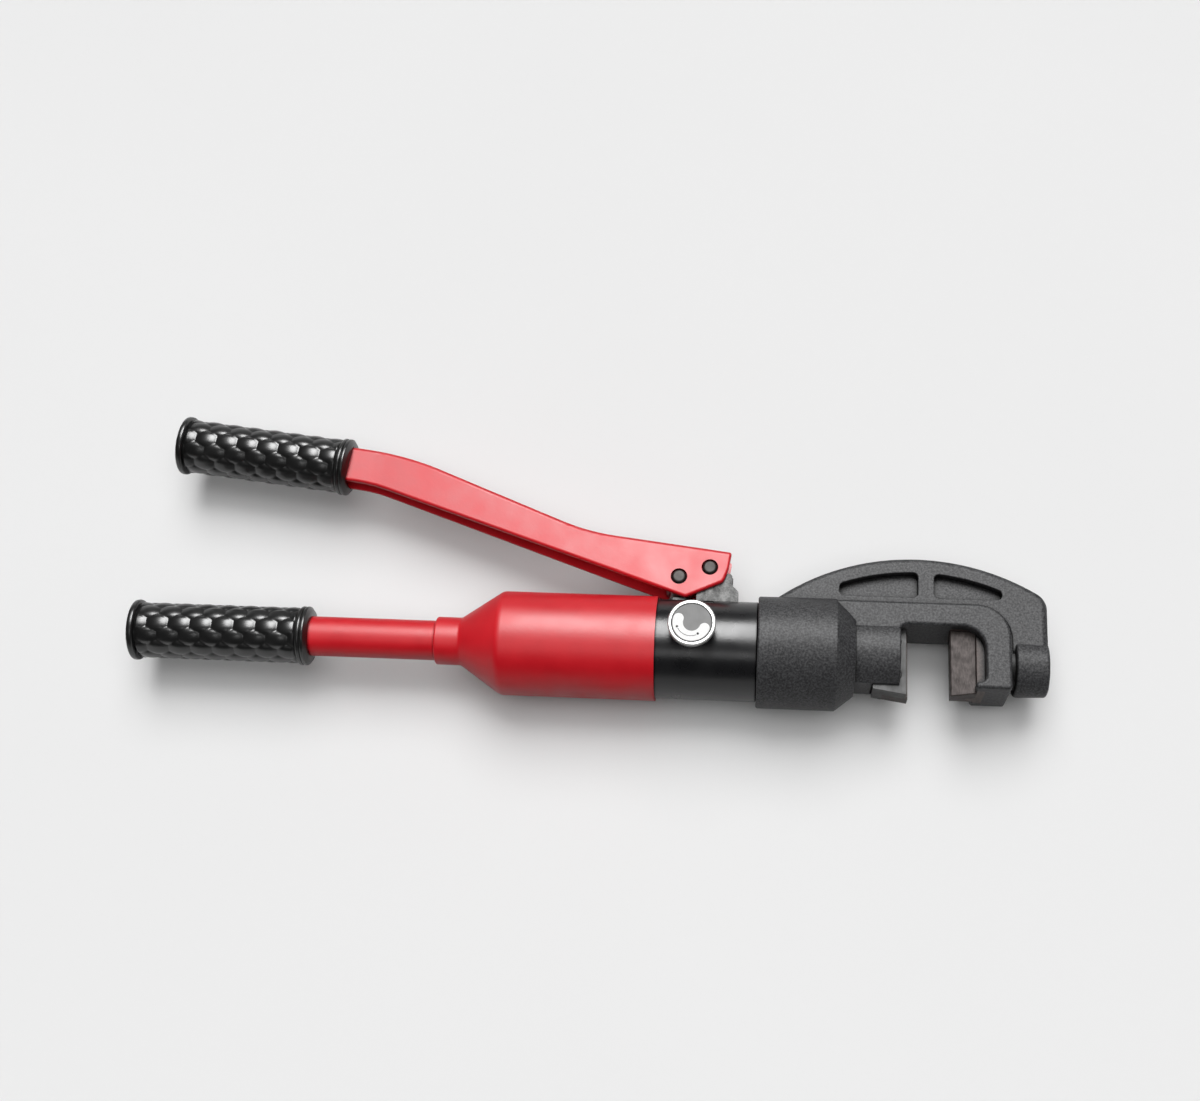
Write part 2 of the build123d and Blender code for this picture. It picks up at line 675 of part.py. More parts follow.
def lever_bracket():
    x, y = FULCRUM.X, FULCRUM.Y
    foot = PUMP_TOP + BRACKET_FOOT
    shoulder = y - BRACKET_SHOULDER
    step = BRACKET_FRONT - BRACKET_WAIST
    post = outline(
        (x - EAR_R, PUMP_TOP),
        (x + BRACKET_FRONT, PUMP_TOP),
        (x + BRACKET_FRONT, foot, EDGE),
        (x + BRACKET_WAIST, foot + step, BRACKET_ROUND),
        (x + BRACKET_WAIST, shoulder, BRACKET_ROUND),
        (x, shoulder),
        (x, y),
        (x - EAR_R, y),
    )
    side = post + Pos(x, y) * Circle(EAR_R)
    bracket = plate(side, -BRACKET_HALF, BRACKET_HALF)
    bracket += block(
        x - KEY_LENGTH, x - SEATED, PUMP_TOP - KEY_DEPTH, PUMP_TOP, -KEY_HALF, KEY_HALF,
    )
    screw_x = x + BRACKET_SCREW_X
    head = shoulder - BRACKET_SCREW_HEAD
    bracket -= rod(PIN_R + RUNNING, (x, y, -LEVER_HALF), (x, y, LEVER_HALF))
    bracket -= rod(BRACKET_SCREW_R + SEATED, (screw_x, PUMP_TOP - OVERRUN, 0), (screw_x, shoulder, 0))
    bracket -= rod(BRACKET_SCREW_HEAD_R + SEATED, (screw_x, head, 0), (screw_x, y + EAR_R, 0))
    return bracket


def bracket_screw():
    top = FULCRUM.Y - BRACKET_SHOULDER
    head = top - BRACKET_SCREW_HEAD
    foot = PUMP_TOP - BRACKET_SCREW_REACH
    screw = spun(
        (0, foot),
        (BRACKET_SCREW_R, foot, EDGE),
        (BRACKET_SCREW_R, head),
        (BRACKET_SCREW_HEAD_R, head),
        (BRACKET_SCREW_HEAD_R, top, EDGE),
        (0, top),
    )
    screw -= hex_socket(BRACKET_SCREW_HEAD_R / 2, top)
    return Pos(FULCRUM.X + BRACKET_SCREW_X, 0, 0) * ALONG_Y * screw


# Pump lever

def tail_point(along, across):
    """Point by distance behind the grip's front and height above the tail's centre line."""
    slope = radians(TAIL_SLOPE)
    front = FULCRUM + Vector(-LEVER_REACH, LEVER_RISE)
    x = front.X - along * cos(slope) + across * sin(slope)
    y = front.Y + along * sin(slope) + across * cos(slope)
    return x, y


def from_fulcrum(point):
    return FULCRUM.X + point[0], FULCRUM.Y + point[1]


def lever_back():
    """Corners of the lever's back, from the nose to the end of the tail."""
    bend = (*from_fulcrum(LEVER_BACK_BEND), BACK_ROUND)
    tail = (*tail_point(-TAIL_BACK_LEAD, TAIL_HALF), TAIL_ROUND)
    end = tail_point(GRIP_LENGTH - GRIP_CAP, TAIL_HALF)
    return [from_fulcrum(LEVER_NOSE), bend, tail, end]


def lever_plan(inset):
    """Outline from above, tapered from the fork to the tail."""
    taper_end = FULCRUM.X - LEVER_REACH + LEVER_TAPER_LEAD
    ahead = FULCRUM.X + LEVER_HALF * 2
    behind = taper_end - 2 * GRIP_LENGTH
    wide = LEVER_HALF - inset
    slim = LEVER_TAIL_HALF - inset
    start = FULCRUM.X + LEVER_TAPER_START
    side = [(ahead, wide), (start, wide, TAPER_ROUND), (taper_end, slim, TAPER_ROUND), (behind, slim)]
    other = [(x, -z, *rounding) for x, z, *rounding in reversed(side)]
    return extrude(Plane.XZ * outline(*side, *other), 4 * LEVER_REACH, both=True)


def is_lever_rim(face):
    """Whether a face is on the lever's front, jaw or belly, between its side plates."""
    normal = face.normal_at()
    return abs(normal.Z) < 0.1 and normal.Y < 0.5 and normal.X > -0.9


def pump_lever():
    back = lever_back()
    side = outline(
        *back,
        tail_point(GRIP_LENGTH - GRIP_CAP, -TAIL_HALF),
        (*tail_point(-TAIL_BELLY_LEAD, -TAIL_HALF), BELLY_ROUND),
        (*from_fulcrum(LEVER_HEEL), HEEL_ROUND),
        (*from_fulcrum(LEVER_JAW), JAW_ROUND),
        (*from_fulcrum(LEVER_CHIN), CHIN_ROUND),
    )
    lever = plate(side, -LEVER_HALF, LEVER_HALF) & lever_plan(0)
    back_faces = lever.faces().filter_by(lambda face: face.normal_at().Y > 0.85)
    folds = back_faces.edges().filter_by(lambda edge: abs((edge % 0.5).Z) < 0.5)
    lever = fillet(folds, LEVER_EDGE)
    rim_faces = lever.faces().filter_by(is_lever_rim)
    rims = rim_faces.edges().filter_by(lambda edge: abs((edge % 0.5).Z) < 0.5)
    nose_top = rim_faces.sort_by(Axis.X)[-1].edges().sort_by(Axis.Y)[-3:]
    lever = fillet(rims + nose_top, LEVER_RIM)

    under = [(c[0], c[1] - LEVER_SHEET, *c[2:]) for c in back]
    under[0] = (under[0][0] + LEVER_HALF, under[0][1])
    under[-1] = (under[-1][0] - LEVER_HALF, under[-1][1])
    floor = PUMP_TOP - LEVER_REACH
    hollow = outline(*under, (under[-1][0], floor), (under[0][0], floor))
    lever -= plate(hollow, -LEVER_HALF, LEVER_HALF) & lever_plan(LEVER_SHEET)
    inside = LEVER_HALF - LEVER_SHEET
    lever -= block(
        FULCRUM.X + FORK_START, FULCRUM.X + 2 * LEVER_HALF, FULCRUM.Y - LEVER_REACH,
        FULCRUM.Y + LEVER_REACH, -inside, inside,
    )
    for pin in ((0, 0), PLUNGER_PIN):
        x, y = from_fulcrum(pin)
        lever -= rod(PIN_R + SEATED, (x, y, -LEVER_HALF - OVERRUN), (x, y, LEVER_HALF + OVERRUN))
        lever -= rod(PIN_SINK_R, (x, y, LEVER_HALF - PIN_SINK), (x, y, LEVER_HALF + OVERRUN))
    return lever


def lever_grip():
    x, y = tail_point(0, 0)
    slope = radians(TAIL_SLOPE)
    place = Plane((x, y, 0), x_dir=(0, 0, 1), z_dir=(-cos(slope), sin(slope), 0))
    bore = Rectangle(2 * (LEVER_TAIL_HALF + SEATED), 2 * (TAIL_HALF + SEATED))
    return place * (grip_body() - extrude(bore, GRIP_LENGTH - GRIP_CAP))


def lever_pin(centre):
    """Pin with its domed head let into the near plate and a clip groove behind the far plate."""
    head = LEVER_HALF - PIN_SINK
    groove = -LEVER_HALF - CLIP_PLAY
    groove_end = groove - CLIP_THICKNESS - CLIP_PLAY
    x, y = from_fulcrum(centre)
    pin = spun(
        (0, -LEVER_HALF - PIN_TAIL),
        (PIN_R, -LEVER_HALF - PIN_TAIL, EDGE),
        (PIN_R, groove_end),
        (PIN_R - CLIP_GROOVE, groove_end),
        (PIN_R - CLIP_GROOVE, groove),
        (PIN_R, groove),
        (PIN_R, head),
        (PIN_HEAD_R, head),
        (PIN_HEAD_R, LEVER_HALF + PIN_DOME, PIN_HEAD_ROUND),
        (0, LEVER_HALF + PIN_DOME),
    )
    return Pos(x, y, 0) * pin


def fulcrum_pin():
    return lever_pin((0, 0))


def plunger_pin():
    return lever_pin(PLUNGER_PIN)


def pin_clips():
    """Open clip in the groove of each pin."""
    groove = PIN_R - CLIP_GROOVE + SEATED
    washer = Circle(PIN_R + CLIP_WIDTH) - Circle(groove)
    mouth = Pos(0, -PIN_R) * Rectangle(CLIP_MOUTH, 2 * PIN_R)
    near = -LEVER_HALF - 1.5 * CLIP_PLAY
    clip = plate(washer - mouth, near - CLIP_THICKNESS, near)
    return Compound([Pos(*from_fulcrum(pin), 0) * clip for pin in ((0, 0), PLUNGER_PIN)])


# Plunger

def plunger():
    half = PIN_R + EYE_PLAY + SLOT_TRAVEL / 2 + EYE_WALL
    eye_foot = PIN_Y - PIN_R - EYE_PLAY - EYE_WALL
    eye_top = PIN_Y + PIN_R + EYE_PLAY + EYE_WALL
    body = ALONG_Y * spun(
        (0, PLUNGER_FOOT),
        (PLUNGER_R, PLUNGER_FOOT, EDGE),
        (PLUNGER_R, eye_foot + OVERRUN),
        (0, eye_foot + OVERRUN),
    )
    eye = outline(
        (-half, eye_foot, EYE_WALL),
        (half, eye_foot, EYE_WALL),
        (half, eye_top, 2 * EYE_WALL),
        (-half, eye_top, 2 * EYE_WALL),
    )
    body += plate(eye, -EYE_HALF, EYE_HALF)
    slot_r = PIN_R + EYE_PLAY
    slot = Pos(0, PIN_Y) * SlotCenterToCenter(SLOT_TRAVEL + 2 * EYE_PLAY, 2 * slot_r)
    body -= plate(slot, -EYE_HALF - OVERRUN, EYE_HALF + OVERRUN)
    return Pos(PLUNGER_X, 0, 0) * body


# Cutting head

def mouth_outline():
    """Open space between the cheeks, down past their ends."""
    below = 3 * LEG_BOTTOM
    return outline(
        (MOUTH_X, below),
        (MOUTH_X, CEILING, MOUTH_SMALL_ROUND),
        (LEG_X, CEILING, MOUTH_ROUND),
        (LEG_X, below),
    )


def arch_points():
    start = (BARREL_X + ARCH_REAR_PAST_BARREL, BARREL_R - ARCH_REAR_DROP)
    peak = (MOUTH_X + ARCH_PEAK_PAST_MOUTH, BAND_TOP + ARCH_RISE)
    end = (NOSE_X, BAND_TOP + ARCH_END_RISE)
    return start, peak, end


def arch_web():
    """Arched web over the cheeks, with its pockets on both sides."""
    start, peak, end = arch_points()
    arc = ThreePointArc(start, peak, end)
    web = make_face(arc + Polyline(end, (end[0], 0), (start[0], 0), start))
    web = fillet(web.vertices().sort_by_distance(end)[0], ARCH_CORNER)
    solid = plate(web, -WEB_HALF, WEB_HALF)
    solid = fillet(solid.faces().filter_by(Axis.Z).edges(), WEB_EDGE)
    solid -= plate(mouth_outline(), -WEB_HALF - OVERRUN, WEB_HALF + OVERRUN)

    inner_disc = Pos(arc.arc_center) * Circle(arc.radius - POCKET_RIM)
    sill = BAND_TOP + POCKET_SILL
    post = MOUTH_X + POST_PAST_MOUTH
    for x0, x1 in (
        (post - POST_HALF - POCKET_REAR_LENGTH, post - POST_HALF),
        (post + POST_HALF, post + POST_HALF + POCKET_FRONT_LENGTH),
    ):
        frame = outline((x0, sill), (x1, sill), (x1, 3 * sill), (x0, 3 * sill))
        pocket = frame & inner_disc
        pocket = fillet(pocket.vertices(), POCKET_ROUND)
        floor = WEB_HALF - POCKET_DEPTH
        solid -= plate(pocket, floor, WEB_HALF + OVERRUN)
        solid -= plate(pocket, -WEB_HALF - OVERRUN, -floor)
    return solid - band_grooves()


def band_grooves():
    """Narrow recesses in both faces of the arch along the outside of the cheeks."""
    top = BAND_TOP + BAND_GROOVE
    end = NOSE_REAR_X + BAND_GROOVE
    around = outline(
        (BAND_REAR_X, 0), (BAND_REAR_X, top), (end, top, BAND_ROUND + BAND_GROOVE), (end, 0),
    )
    floor = WEB_HALF - BAND_GROOVE_DEPTH
    return [plate(around, floor, WEB_HALF + OVERRUN), plate(around, -WEB_HALF - OVERRUN, -floor)]


def cheeks():
    """C-shaped band round the mouth, with a small toe under its leg."""
    toe_top = LEG_BOTTOM + TOE_RISE
    toe = LEG_X - TOE_REACH
    band = outline(
        (BAND_REAR_X, 0),
        (BAND_REAR_X, BAND_TOP),
        (NOSE_REAR_X, BAND_TOP, BAND_ROUND),
        (NOSE_REAR_X, LEG_BOTTOM, TOE_ROUND),
        (toe, LEG_BOTTOM, TOE_ROUND),
        (toe, toe_top, TOE_ROUND),
        (LEG_X, toe_top, FOOT_ROUND),
        (LEG_X, CEILING, MOUTH_ROUND),
        (MOUTH_X, CEILING, MOUTH_SMALL_ROUND),
        (MOUTH_X, 0),
    )
    solid = plate(band, -BAND_HALF, BAND_HALF)
    return fillet(solid.faces().filter_by(Axis.Z).edges(), BAND_EDGE)


def head_barrel():
    """Turned part of the head: spigot, barrel, cone and guide boss."""
    groove = SPIGOT_R - 2 * CORD_R
    spigot_x = SOCKET_X + SPIGOT_PLAY
    return ALONG_X * spun(
        (0, spigot_x),
        (SPIGOT_R, spigot_x),
        (SPIGOT_R, HEAD_SEAL_X - CORD_R),
        (groove, HEAD_SEAL_X - CORD_R),
        (groove, HEAD_SEAL_X + CORD_R),
        (SPIGOT_R, HEAD_SEAL_X + CORD_R),
        (SPIGOT_R, BARREL_X),
        (BARREL_R, BARREL_X, BARREL_EDGE),
        (BARREL_R, CONE_X, BARREL_EDGE),
        (BOSS_R + CONE_STEP, BOSS_X),
        (BOSS_R, BOSS_X),
        (BOSS_R, MOUTH_X, BOSS_EDGE),
        (0, MOUTH_X),
    )


def nose():
    """Round nose behind the leg, set off from it by a short neck."""
    start = NOSE_REAR_X + NOSE_GAP
    return Pos(0, NOSE_Y, 0) * ALONG_X * spun(
        (0, LEG_X + OVERRUN),
        (NOSE_NECK_R, LEG_X + OVERRUN),
        (NOSE_NECK_R, start),
        (NOSE_R + NOSE_DRAFT, start, NOSE_ROUND),
        (NOSE_R, NOSE_X, NOSE_ROUND),
        (0, NOSE_X),
    )


def cutter_head():
    head = head_barrel() + arch_web() + cheeks() + nose()
    far = 4 * BARREL_R
    slot_half = SHOE_HALF + PASSING
    seat = CEILING - SEAT_DROP
    head -= block(FIXED_EDGE_X, SEAT_X, -far, CEILING, -SEAT_HALF, SEAT_HALF)
    head += block(SEAT_X, LEG_X + OVERRUN, LEG_BOTTOM, seat, -SEAT_HALF, SEAT_HALF)
    head += block(SEAT_X - LIP_LENGTH, SEAT_X, LEG_BOTTOM, seat, -BLADE_THICKNESS, SHEAR_GAP)
    head -= block(BOSS_X, MOUTH_X + OVERRUN, -far, BOSS_FLAT, -far, far)
    head -= x_rod(BORE_R, SOCKET_X, BORE_END_X)
    head -= x_rod(ROD_R + RUNNING, BORE_END_X - OVERRUN, MOUTH_X + OVERRUN)
    slot_end = MOUTH_X + MOUTH_SMALL_ROUND + OVERRUN
    head -= block(SLOT_X, slot_end, -far, CEILING, -slot_half, slot_half)
    head -= x_rod(ROD_R + WIPER_DEPTH, *wiper_span())
    for x, y in fixed_screw_points():
        head -= rod(BLADE_SCREW_R + SEATED, (x, y, -BLADE_THICKNESS - OVERRUN), (x, y, SHEAR_GAP + OVERRUN))
        counterbore = -BLADE_THICKNESS + BLADE_SCREW_HEAD
        head -= rod(BLADE_SCREW_HEAD_R + SEATED, (x, y, -SEAT_HALF), (x, y, counterbore))
    return head


def wiper_span():
    front = SLOT_X - WIPER_SETBACK
    return front - WIPER_LENGTH, front


def rod_wiper():
    low, high = wiper_span()
    lip = spun(
        (ROD_R + RUNNING, low),
        (ROD_R + WIPER_DEPTH - SEATED, low),
        (ROD_R + WIPER_DEPTH - SEATED, high),
        (ROD_R + WIPER_DEPTH / 2, high),
        (ROD_R + RUNNING, high - WIPER_DEPTH / 2),
    )
    return ALONG_X * lip


def head_seal():
    return ALONG_X * round_seal(SPIGOT_R - CORD_R, HEAD_SEAL_X, CORD_R)


# Blades and their screws

def blade_foot(behind):
    """Height of a blade's lower end at a distance behind its edge."""
    return BLADE_BOTTOM + behind * tan(radians(BLADE_FOOT_SLOPE))


def blade():
    """Blade with its edge along Y at the origin, lying towards +X on the +Z side."""
    side = outline(
        (0, ROD_R), (BLADE_DEPTH, ROD_R), (BLADE_DEPTH, blade_foot(BLADE_DEPTH)), (0, blade_foot(0)),
    )
    solid = plate(side, SHEAR_GAP, BLADE_THICKNESS)
    solid = chamfer(solid.faces().sort_by(Axis.Z)[-1].edges(), BLADE_CHAMFER)
    reach = SHEAR_GAP + BLADE_SCREW_REACH + PASSING
    for y in BLADE_SCREW_YS:
        x = BLADE_DEPTH - LIP_LENGTH / 2
        solid -= rod(BLADE_SCREW_R + SEATED, (x, y, 0), (x, y, reach))
    return solid


def blade_screws():
    """Screws that come through the lip into the blade, in the blade's own place."""
    top = SHEAR_GAP + BLADE_SCREW_REACH
    head = -BLADE_THICKNESS + BLADE_SCREW_HEAD
    screw = spun(
        (0, -BLADE_THICKNESS),
        (BLADE_SCREW_HEAD_R, -BLADE_THICKNESS, EDGE),
        (BLADE_SCREW_HEAD_R, head),
        (BLADE_SCREW_R, head),
        (BLADE_SCREW_R, top, EDGE),
        (0, top),
    )
    screw -= Rot(180, 0, 0) * hex_socket(BLADE_SCREW_HEAD_R / 2, BLADE_THICKNESS)
    x = BLADE_DEPTH - LIP_LENGTH / 2
    return Compound([Pos(x, y, 0) * screw for y in BLADE_SCREW_YS])


FIXED_PLACE = Pos(FIXED_EDGE_X, 0, 0)
MOVING_PLACE = Pos(EDGE_X, 0, 0) * Rot(0, 180, 0)


def fixed_screw_points():
    x = FIXED_EDGE_X + BLADE_DEPTH - LIP_LENGTH / 2
    return [(x, y) for y in BLADE_SCREW_YS]


def moving_screw_points():
    x = EDGE_X - BLADE_DEPTH + LIP_LENGTH / 2
    return [(x, y) for y in BLADE_SCREW_YS]


def fixed_blade():
    return FIXED_PLACE * blade()


def fixed_blade_screws():
    return FIXED_PLACE * blade_screws()


def moving_blade():
    return MOVING_PLACE * blade()


def moving_blade_screws():
    return MOVING_PLACE * blade_screws()


# Ram

def shoe_side(front):
    """Side of the shoe from its back to a station along X, its foot in line with the blade's."""
    return outline(
        (SHOE_X, ROD_R), (front, ROD_R), (front, blade_foot(EDGE_X - front)),
        (SHOE_X, blade_foot(EDGE_X - SHOE_X)),
    )


def ram():
    seal_x = PISTON_X + (PISTON_LENGTH - PISTON_SEAL_LENGTH) / 2
    piston_r = BORE_R - RUNNING
    body = ALONG_X * spun(
        (0, PISTON_X),
        (piston_r, PISTON_X, PISTON_EDGE),
        (piston_r, seal_x),
        (piston_r - PISTON_SEAL_DEPTH, seal_x),
        (piston_r - PISTON_SEAL_DEPTH, seal_x + PISTON_SEAL_LENGTH),
        (piston_r, seal_x + PISTON_SEAL_LENGTH),
        (piston_r, PISTON_FRONT_X, EDGE),
        (ROD_R, PISTON_FRONT_X),
        (ROD_R, BLADE_BACK_X),
        (0, BLADE_BACK_X),
    )
    body += plate(shoe_side(BLADE_BACK_X), -SHOE_HALF, SHOE_HALF)
    body += plate(shoe_side(EDGE_X - LIP_SETBACK), -SHEAR_GAP, SHOE_HALF)
    for x, y in moving_screw_points():
        body -= rod(BLADE_SCREW_R + SEATED, (x, y, -OVERRUN), (x, y, SHOE_HALF + OVERRUN))
        counterbore = BLADE_THICKNESS - BLADE_SCREW_HEAD
        body -= rod(BLADE_SCREW_HEAD_R + SEATED, (x, y, counterbore), (x, y, SHOE_HALF + OVERRUN))
    return body


def piston_seal():
    low = PISTON_X + (PISTON_LENGTH - PISTON_SEAL_LENGTH) / 2
    high = low + PISTON_SEAL_LENGTH
    outer = BORE_R - RUNNING
    inner = outer - PISTON_SEAL_DEPTH + SEATED
    middle = (inner + outer) / 2
    cup = spun(
        (inner, low),
        (middle - SEAL_NOTCH, low),
        (middle, low + PISTON_SEAL_LENGTH / 2),
        (middle + SEAL_NOTCH, low),
        (outer, low),
        (outer, high),
        (inner, high),
    )
    return ALONG_X * cup


def return_spring():
    length = BORE_END_X - PISTON_FRONT_X
    spring = coil((ROD_R + BORE_R) / 2, SPRING_WIRE_R, length, SPRING_TURNS)
    return Pos(PISTON_FRONT_X, 0, 0) * ALONG_X * spring


# Release valve

def release_nut():
    foot = SPOT_Z - RELEASE_NUT_LENGTH
    top = SPOT_Z + RELEASE_FLANGE
    groove = STEM_R + 2 * CORD_R
    seal_z = SPOT_Z - RELEASE_NUT_LENGTH / 2
    nut = spun(
        (STEM_R + RUNNING, foot),
        (RELEASE_NUT_R, foot),
        (RELEASE_NUT_R, SPOT_Z),
        (RELEASE_FLANGE_R, SPOT_Z),
        (RELEASE_FLANGE_R, top, EDGE),
        (STEM_R + RUNNING, top),
        (STEM_R + RUNNING, seal_z + CORD_R),
        (groove, seal_z + CORD_R),
        (groove, seal_z - CORD_R),
        (STEM_R + RUNNING, seal_z - CORD_R),
    )
    flats = RegularPolygon(RELEASE_FLANGE_R - SPOT_MARGIN, 6, major_radius=False)
    around = Circle(RELEASE_FLANGE_R + OVERRUN) - flats
    nut -= extrude(Pos(0, 0, SPOT_Z + SPOT_DEPTH) * around, RELEASE_FLANGE)
    return RELEASE_PLACE * nut


def release_seal():
    seal_z = SPOT_Z - RELEASE_NUT_LENGTH / 2
    section = CORD_R - RUNNING / 2
    return RELEASE_PLACE * round_seal(STEM_R + RUNNING + section, seal_z, section)


def release_ball_height():
    return RELEASE_SEAT + ball_rest(RELEASE_BALL_R, RELEASE_PORT_R)


def release_ball():
    return RELEASE_PLACE * Pos(0, 0, release_ball_height()) * Sphere(RELEASE_BALL_R)


def release_stem():
    tip = release_ball_height() + RELEASE_BALL_R + 2 * RUNNING
    stem = spun(
        (0, tip),
        (STEM_R, tip, STEM_ROUND),
        (STEM_R, KNOB_Z),
        (STEM_END_R, KNOB_Z),
        (STEM_END_R, KNOB_Z + STEM_END_LENGTH),
        (0, KNOB_Z + STEM_END_LENGTH),
    )
    return RELEASE_PLACE * stem


def plate_floor():
    return KNOB_TOP_Z - PLATE_SUNK - PLATE_THICKNESS


def release_knob():
    well = KNOB_R - KNOB_RIM
    knob = spun(
        (STEM_END_R + SEATED, KNOB_Z),
        (KNOB_HUB_R, KNOB_Z, EDGE),
        (KNOB_HUB_R, DISC_Z),
        (KNOB_R, DISC_Z, KNOB_EDGE),
        (KNOB_R, KNOB_TOP_Z, KNOB_EDGE),
        (well, KNOB_TOP_Z),
        (well, plate_floor()),
        (0, plate_floor()),
        (0, KNOB_Z + STEM_END_LENGTH),
        (STEM_END_R + SEATED, KNOB_Z + STEM_END_LENGTH),
    )
    knob -= rod(SET_SCREW_R + SEATED, (0, 0, SET_SCREW_Z), (0, -KNOB_HUB_R - OVERRUN, SET_SCREW_Z))
    return RELEASE_PLACE * knob


def knob_plate():
    well = KNOB_R - KNOB_RIM - SEATED
    disc = spun((0, 0), (well, 0), (well, PLATE_THICKNESS, PLATE_EDGE), (0, PLATE_THICKNESS))
    return RELEASE_PLACE * Pos(0, 0, plate_floor()) * disc


def knob_set_screw():
    tip = STEM_END_R + SEATED
    end = KNOB_HUB_R - SET_SCREW_SUNK
    screw = spun((0, tip), (SET_SCREW_R, tip, EDGE), (SET_SCREW_R, end), (0, end))
    screw -= hex_socket(SET_SCREW_R / 2, end)
    return RELEASE_PLACE * Pos(0, 0, SET_SCREW_Z) * Rot(90, 0, 0) * screw


PIECES = [
    oil_tank, handle_tube, rear_grip, oil_bladder, bladder_clamp, tank_seal, pump_body,
    plunger_gland, plunger_seal, suction_seat, suction_strainer, suction_ball, suction_spring,
    delivery_ball, delivery_spring, delivery_plug, relief_ball, relief_spring, relief_screw,
    release_nut, release_seal, release_ball, lever_bracket, bracket_screw, cutter_head,
    head_seal, rod_wiper, fixed_blade, fixed_blade_screws, return_spring, pump_lever, lever_grip,
    fulcrum_pin, plunger_pin, pin_clips, plunger, ram, piston_seal, moving_blade,
    moving_blade_screws, release_stem, release_knob, knob_plate, knob_set_screw,
]

os.makedirs("parts", exist_ok=True)
for piece in PIECES:
    export_step(piece(), f"parts/{piece.__name__}.step")
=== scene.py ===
import json
import math

import bmesh
import bpy
from mathutils import Matrix, Vector


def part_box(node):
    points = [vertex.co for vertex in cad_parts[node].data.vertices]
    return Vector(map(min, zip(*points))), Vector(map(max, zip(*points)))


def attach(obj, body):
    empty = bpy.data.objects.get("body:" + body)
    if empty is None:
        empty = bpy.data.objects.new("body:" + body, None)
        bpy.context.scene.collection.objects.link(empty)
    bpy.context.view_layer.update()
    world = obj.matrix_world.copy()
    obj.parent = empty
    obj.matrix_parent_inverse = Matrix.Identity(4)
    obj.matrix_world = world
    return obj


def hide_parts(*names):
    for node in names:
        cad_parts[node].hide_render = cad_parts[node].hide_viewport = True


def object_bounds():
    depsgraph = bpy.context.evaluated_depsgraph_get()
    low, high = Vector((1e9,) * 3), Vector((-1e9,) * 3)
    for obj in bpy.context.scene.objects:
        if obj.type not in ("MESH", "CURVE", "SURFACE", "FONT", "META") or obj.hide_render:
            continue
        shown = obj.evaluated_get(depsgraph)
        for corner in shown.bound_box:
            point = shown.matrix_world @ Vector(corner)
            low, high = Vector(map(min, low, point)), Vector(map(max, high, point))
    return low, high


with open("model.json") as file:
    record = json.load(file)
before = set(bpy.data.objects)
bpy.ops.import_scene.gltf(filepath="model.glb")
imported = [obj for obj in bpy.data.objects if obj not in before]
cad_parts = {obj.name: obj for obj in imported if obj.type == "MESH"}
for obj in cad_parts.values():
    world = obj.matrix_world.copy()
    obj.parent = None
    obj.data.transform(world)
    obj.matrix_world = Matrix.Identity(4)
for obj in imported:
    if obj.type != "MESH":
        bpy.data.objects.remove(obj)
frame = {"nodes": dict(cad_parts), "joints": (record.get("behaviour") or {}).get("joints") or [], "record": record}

CAD_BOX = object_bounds()
MM = 0.001
FULL_TURN = 2 * math.pi

# Photograph: frame size and lens in pixels, and the tool's pose in it
PHOTO_WIDTH = 1200
PHOTO_HEIGHT = 1101
LENS_PX = 1700.0
SEAM_PX = (657.0, 648.6)        # where the tank meets the pump body, on the axis
SEAM_DEPTH = 1.056
YAW = math.radians(5.4)         # head end nearer to the camera
ROLL = math.radians(1.8)        # head end lower in the picture
TILT = math.radians(21.3)       # lever leaning away from the camera
SENSOR = 36.0

# Tool, in metres
JOINTS = {joint["name"]: joint for joint in frame["joints"]}
FULCRUM = Vector(JOINTS["lever_swing"]["pos_m"])
KNOB_AXIS = Vector(JOINTS["release_turn"]["pos_m"])
LEVER_REACH = 237.9 * MM        # fulcrum to the front of the lever's grip
LEVER_RISE = 66.1 * MM
LEVER_GRIP_FRONT = FULCRUM + Vector((-LEVER_REACH, LEVER_RISE, 0))
TAIL_SLOPE = math.radians(6.57)
TAIL_HALF_Z = 8.5 * MM
TAIL_HALF_Y = 12.0 * MM
TUBE_R = 12.5 * MM
FLOOR_Z = CAD_BOX[0][2]


# Node materials

class Nodes:
    """Helpers that add nodes to a node tree."""

    def __init__(self, tree):
        self.nodes = tree.nodes
        self.links = tree.links

    def add(self, kind, **settings):
        node = self.nodes.new(kind)
        for key, value in settings.items():
            setattr(node, key, value)
        return node

    def join(self, output, target):
        self.links.new(output, target)

    def span(self, factor, low, high, out_low, out_high):
        """Maps a factor from one range to another, clamped."""
        node = self.add("ShaderNodeMapRange")
        node.inputs["From Min"].default_value = low
        node.inputs["From Max"].default_value = high
        node.inputs["To Min"].default_value = out_low
        node.inputs["To Max"].default_value = out_high
        self.join(factor, node.inputs["Value"])
        return node.outputs["Result"]

    def combine(self, operation, a, b):
        """Result of a math operation on two outputs or numbers."""
        node = self.add("ShaderNodeMath", operation=operation)
        for socket, value in zip(node.inputs, (a, b)):
            if isinstance(value, (int, float)):
                socket.default_value = value
            else:
                self.join(value, socket)
        return node.outputs["Value"]

    def seen(self):
        """1 where the surface is looked at, straight or in a reflection, 0 where it only gives light."""
        ray = self.add("ShaderNodeLightPath").outputs
        looked_at = self.combine("MAXIMUM", ray["Is Camera Ray"], ray["Is Glossy Ray"])
        return self.combine("MAXIMUM", looked_at, ray["Is Transmission Ray"])


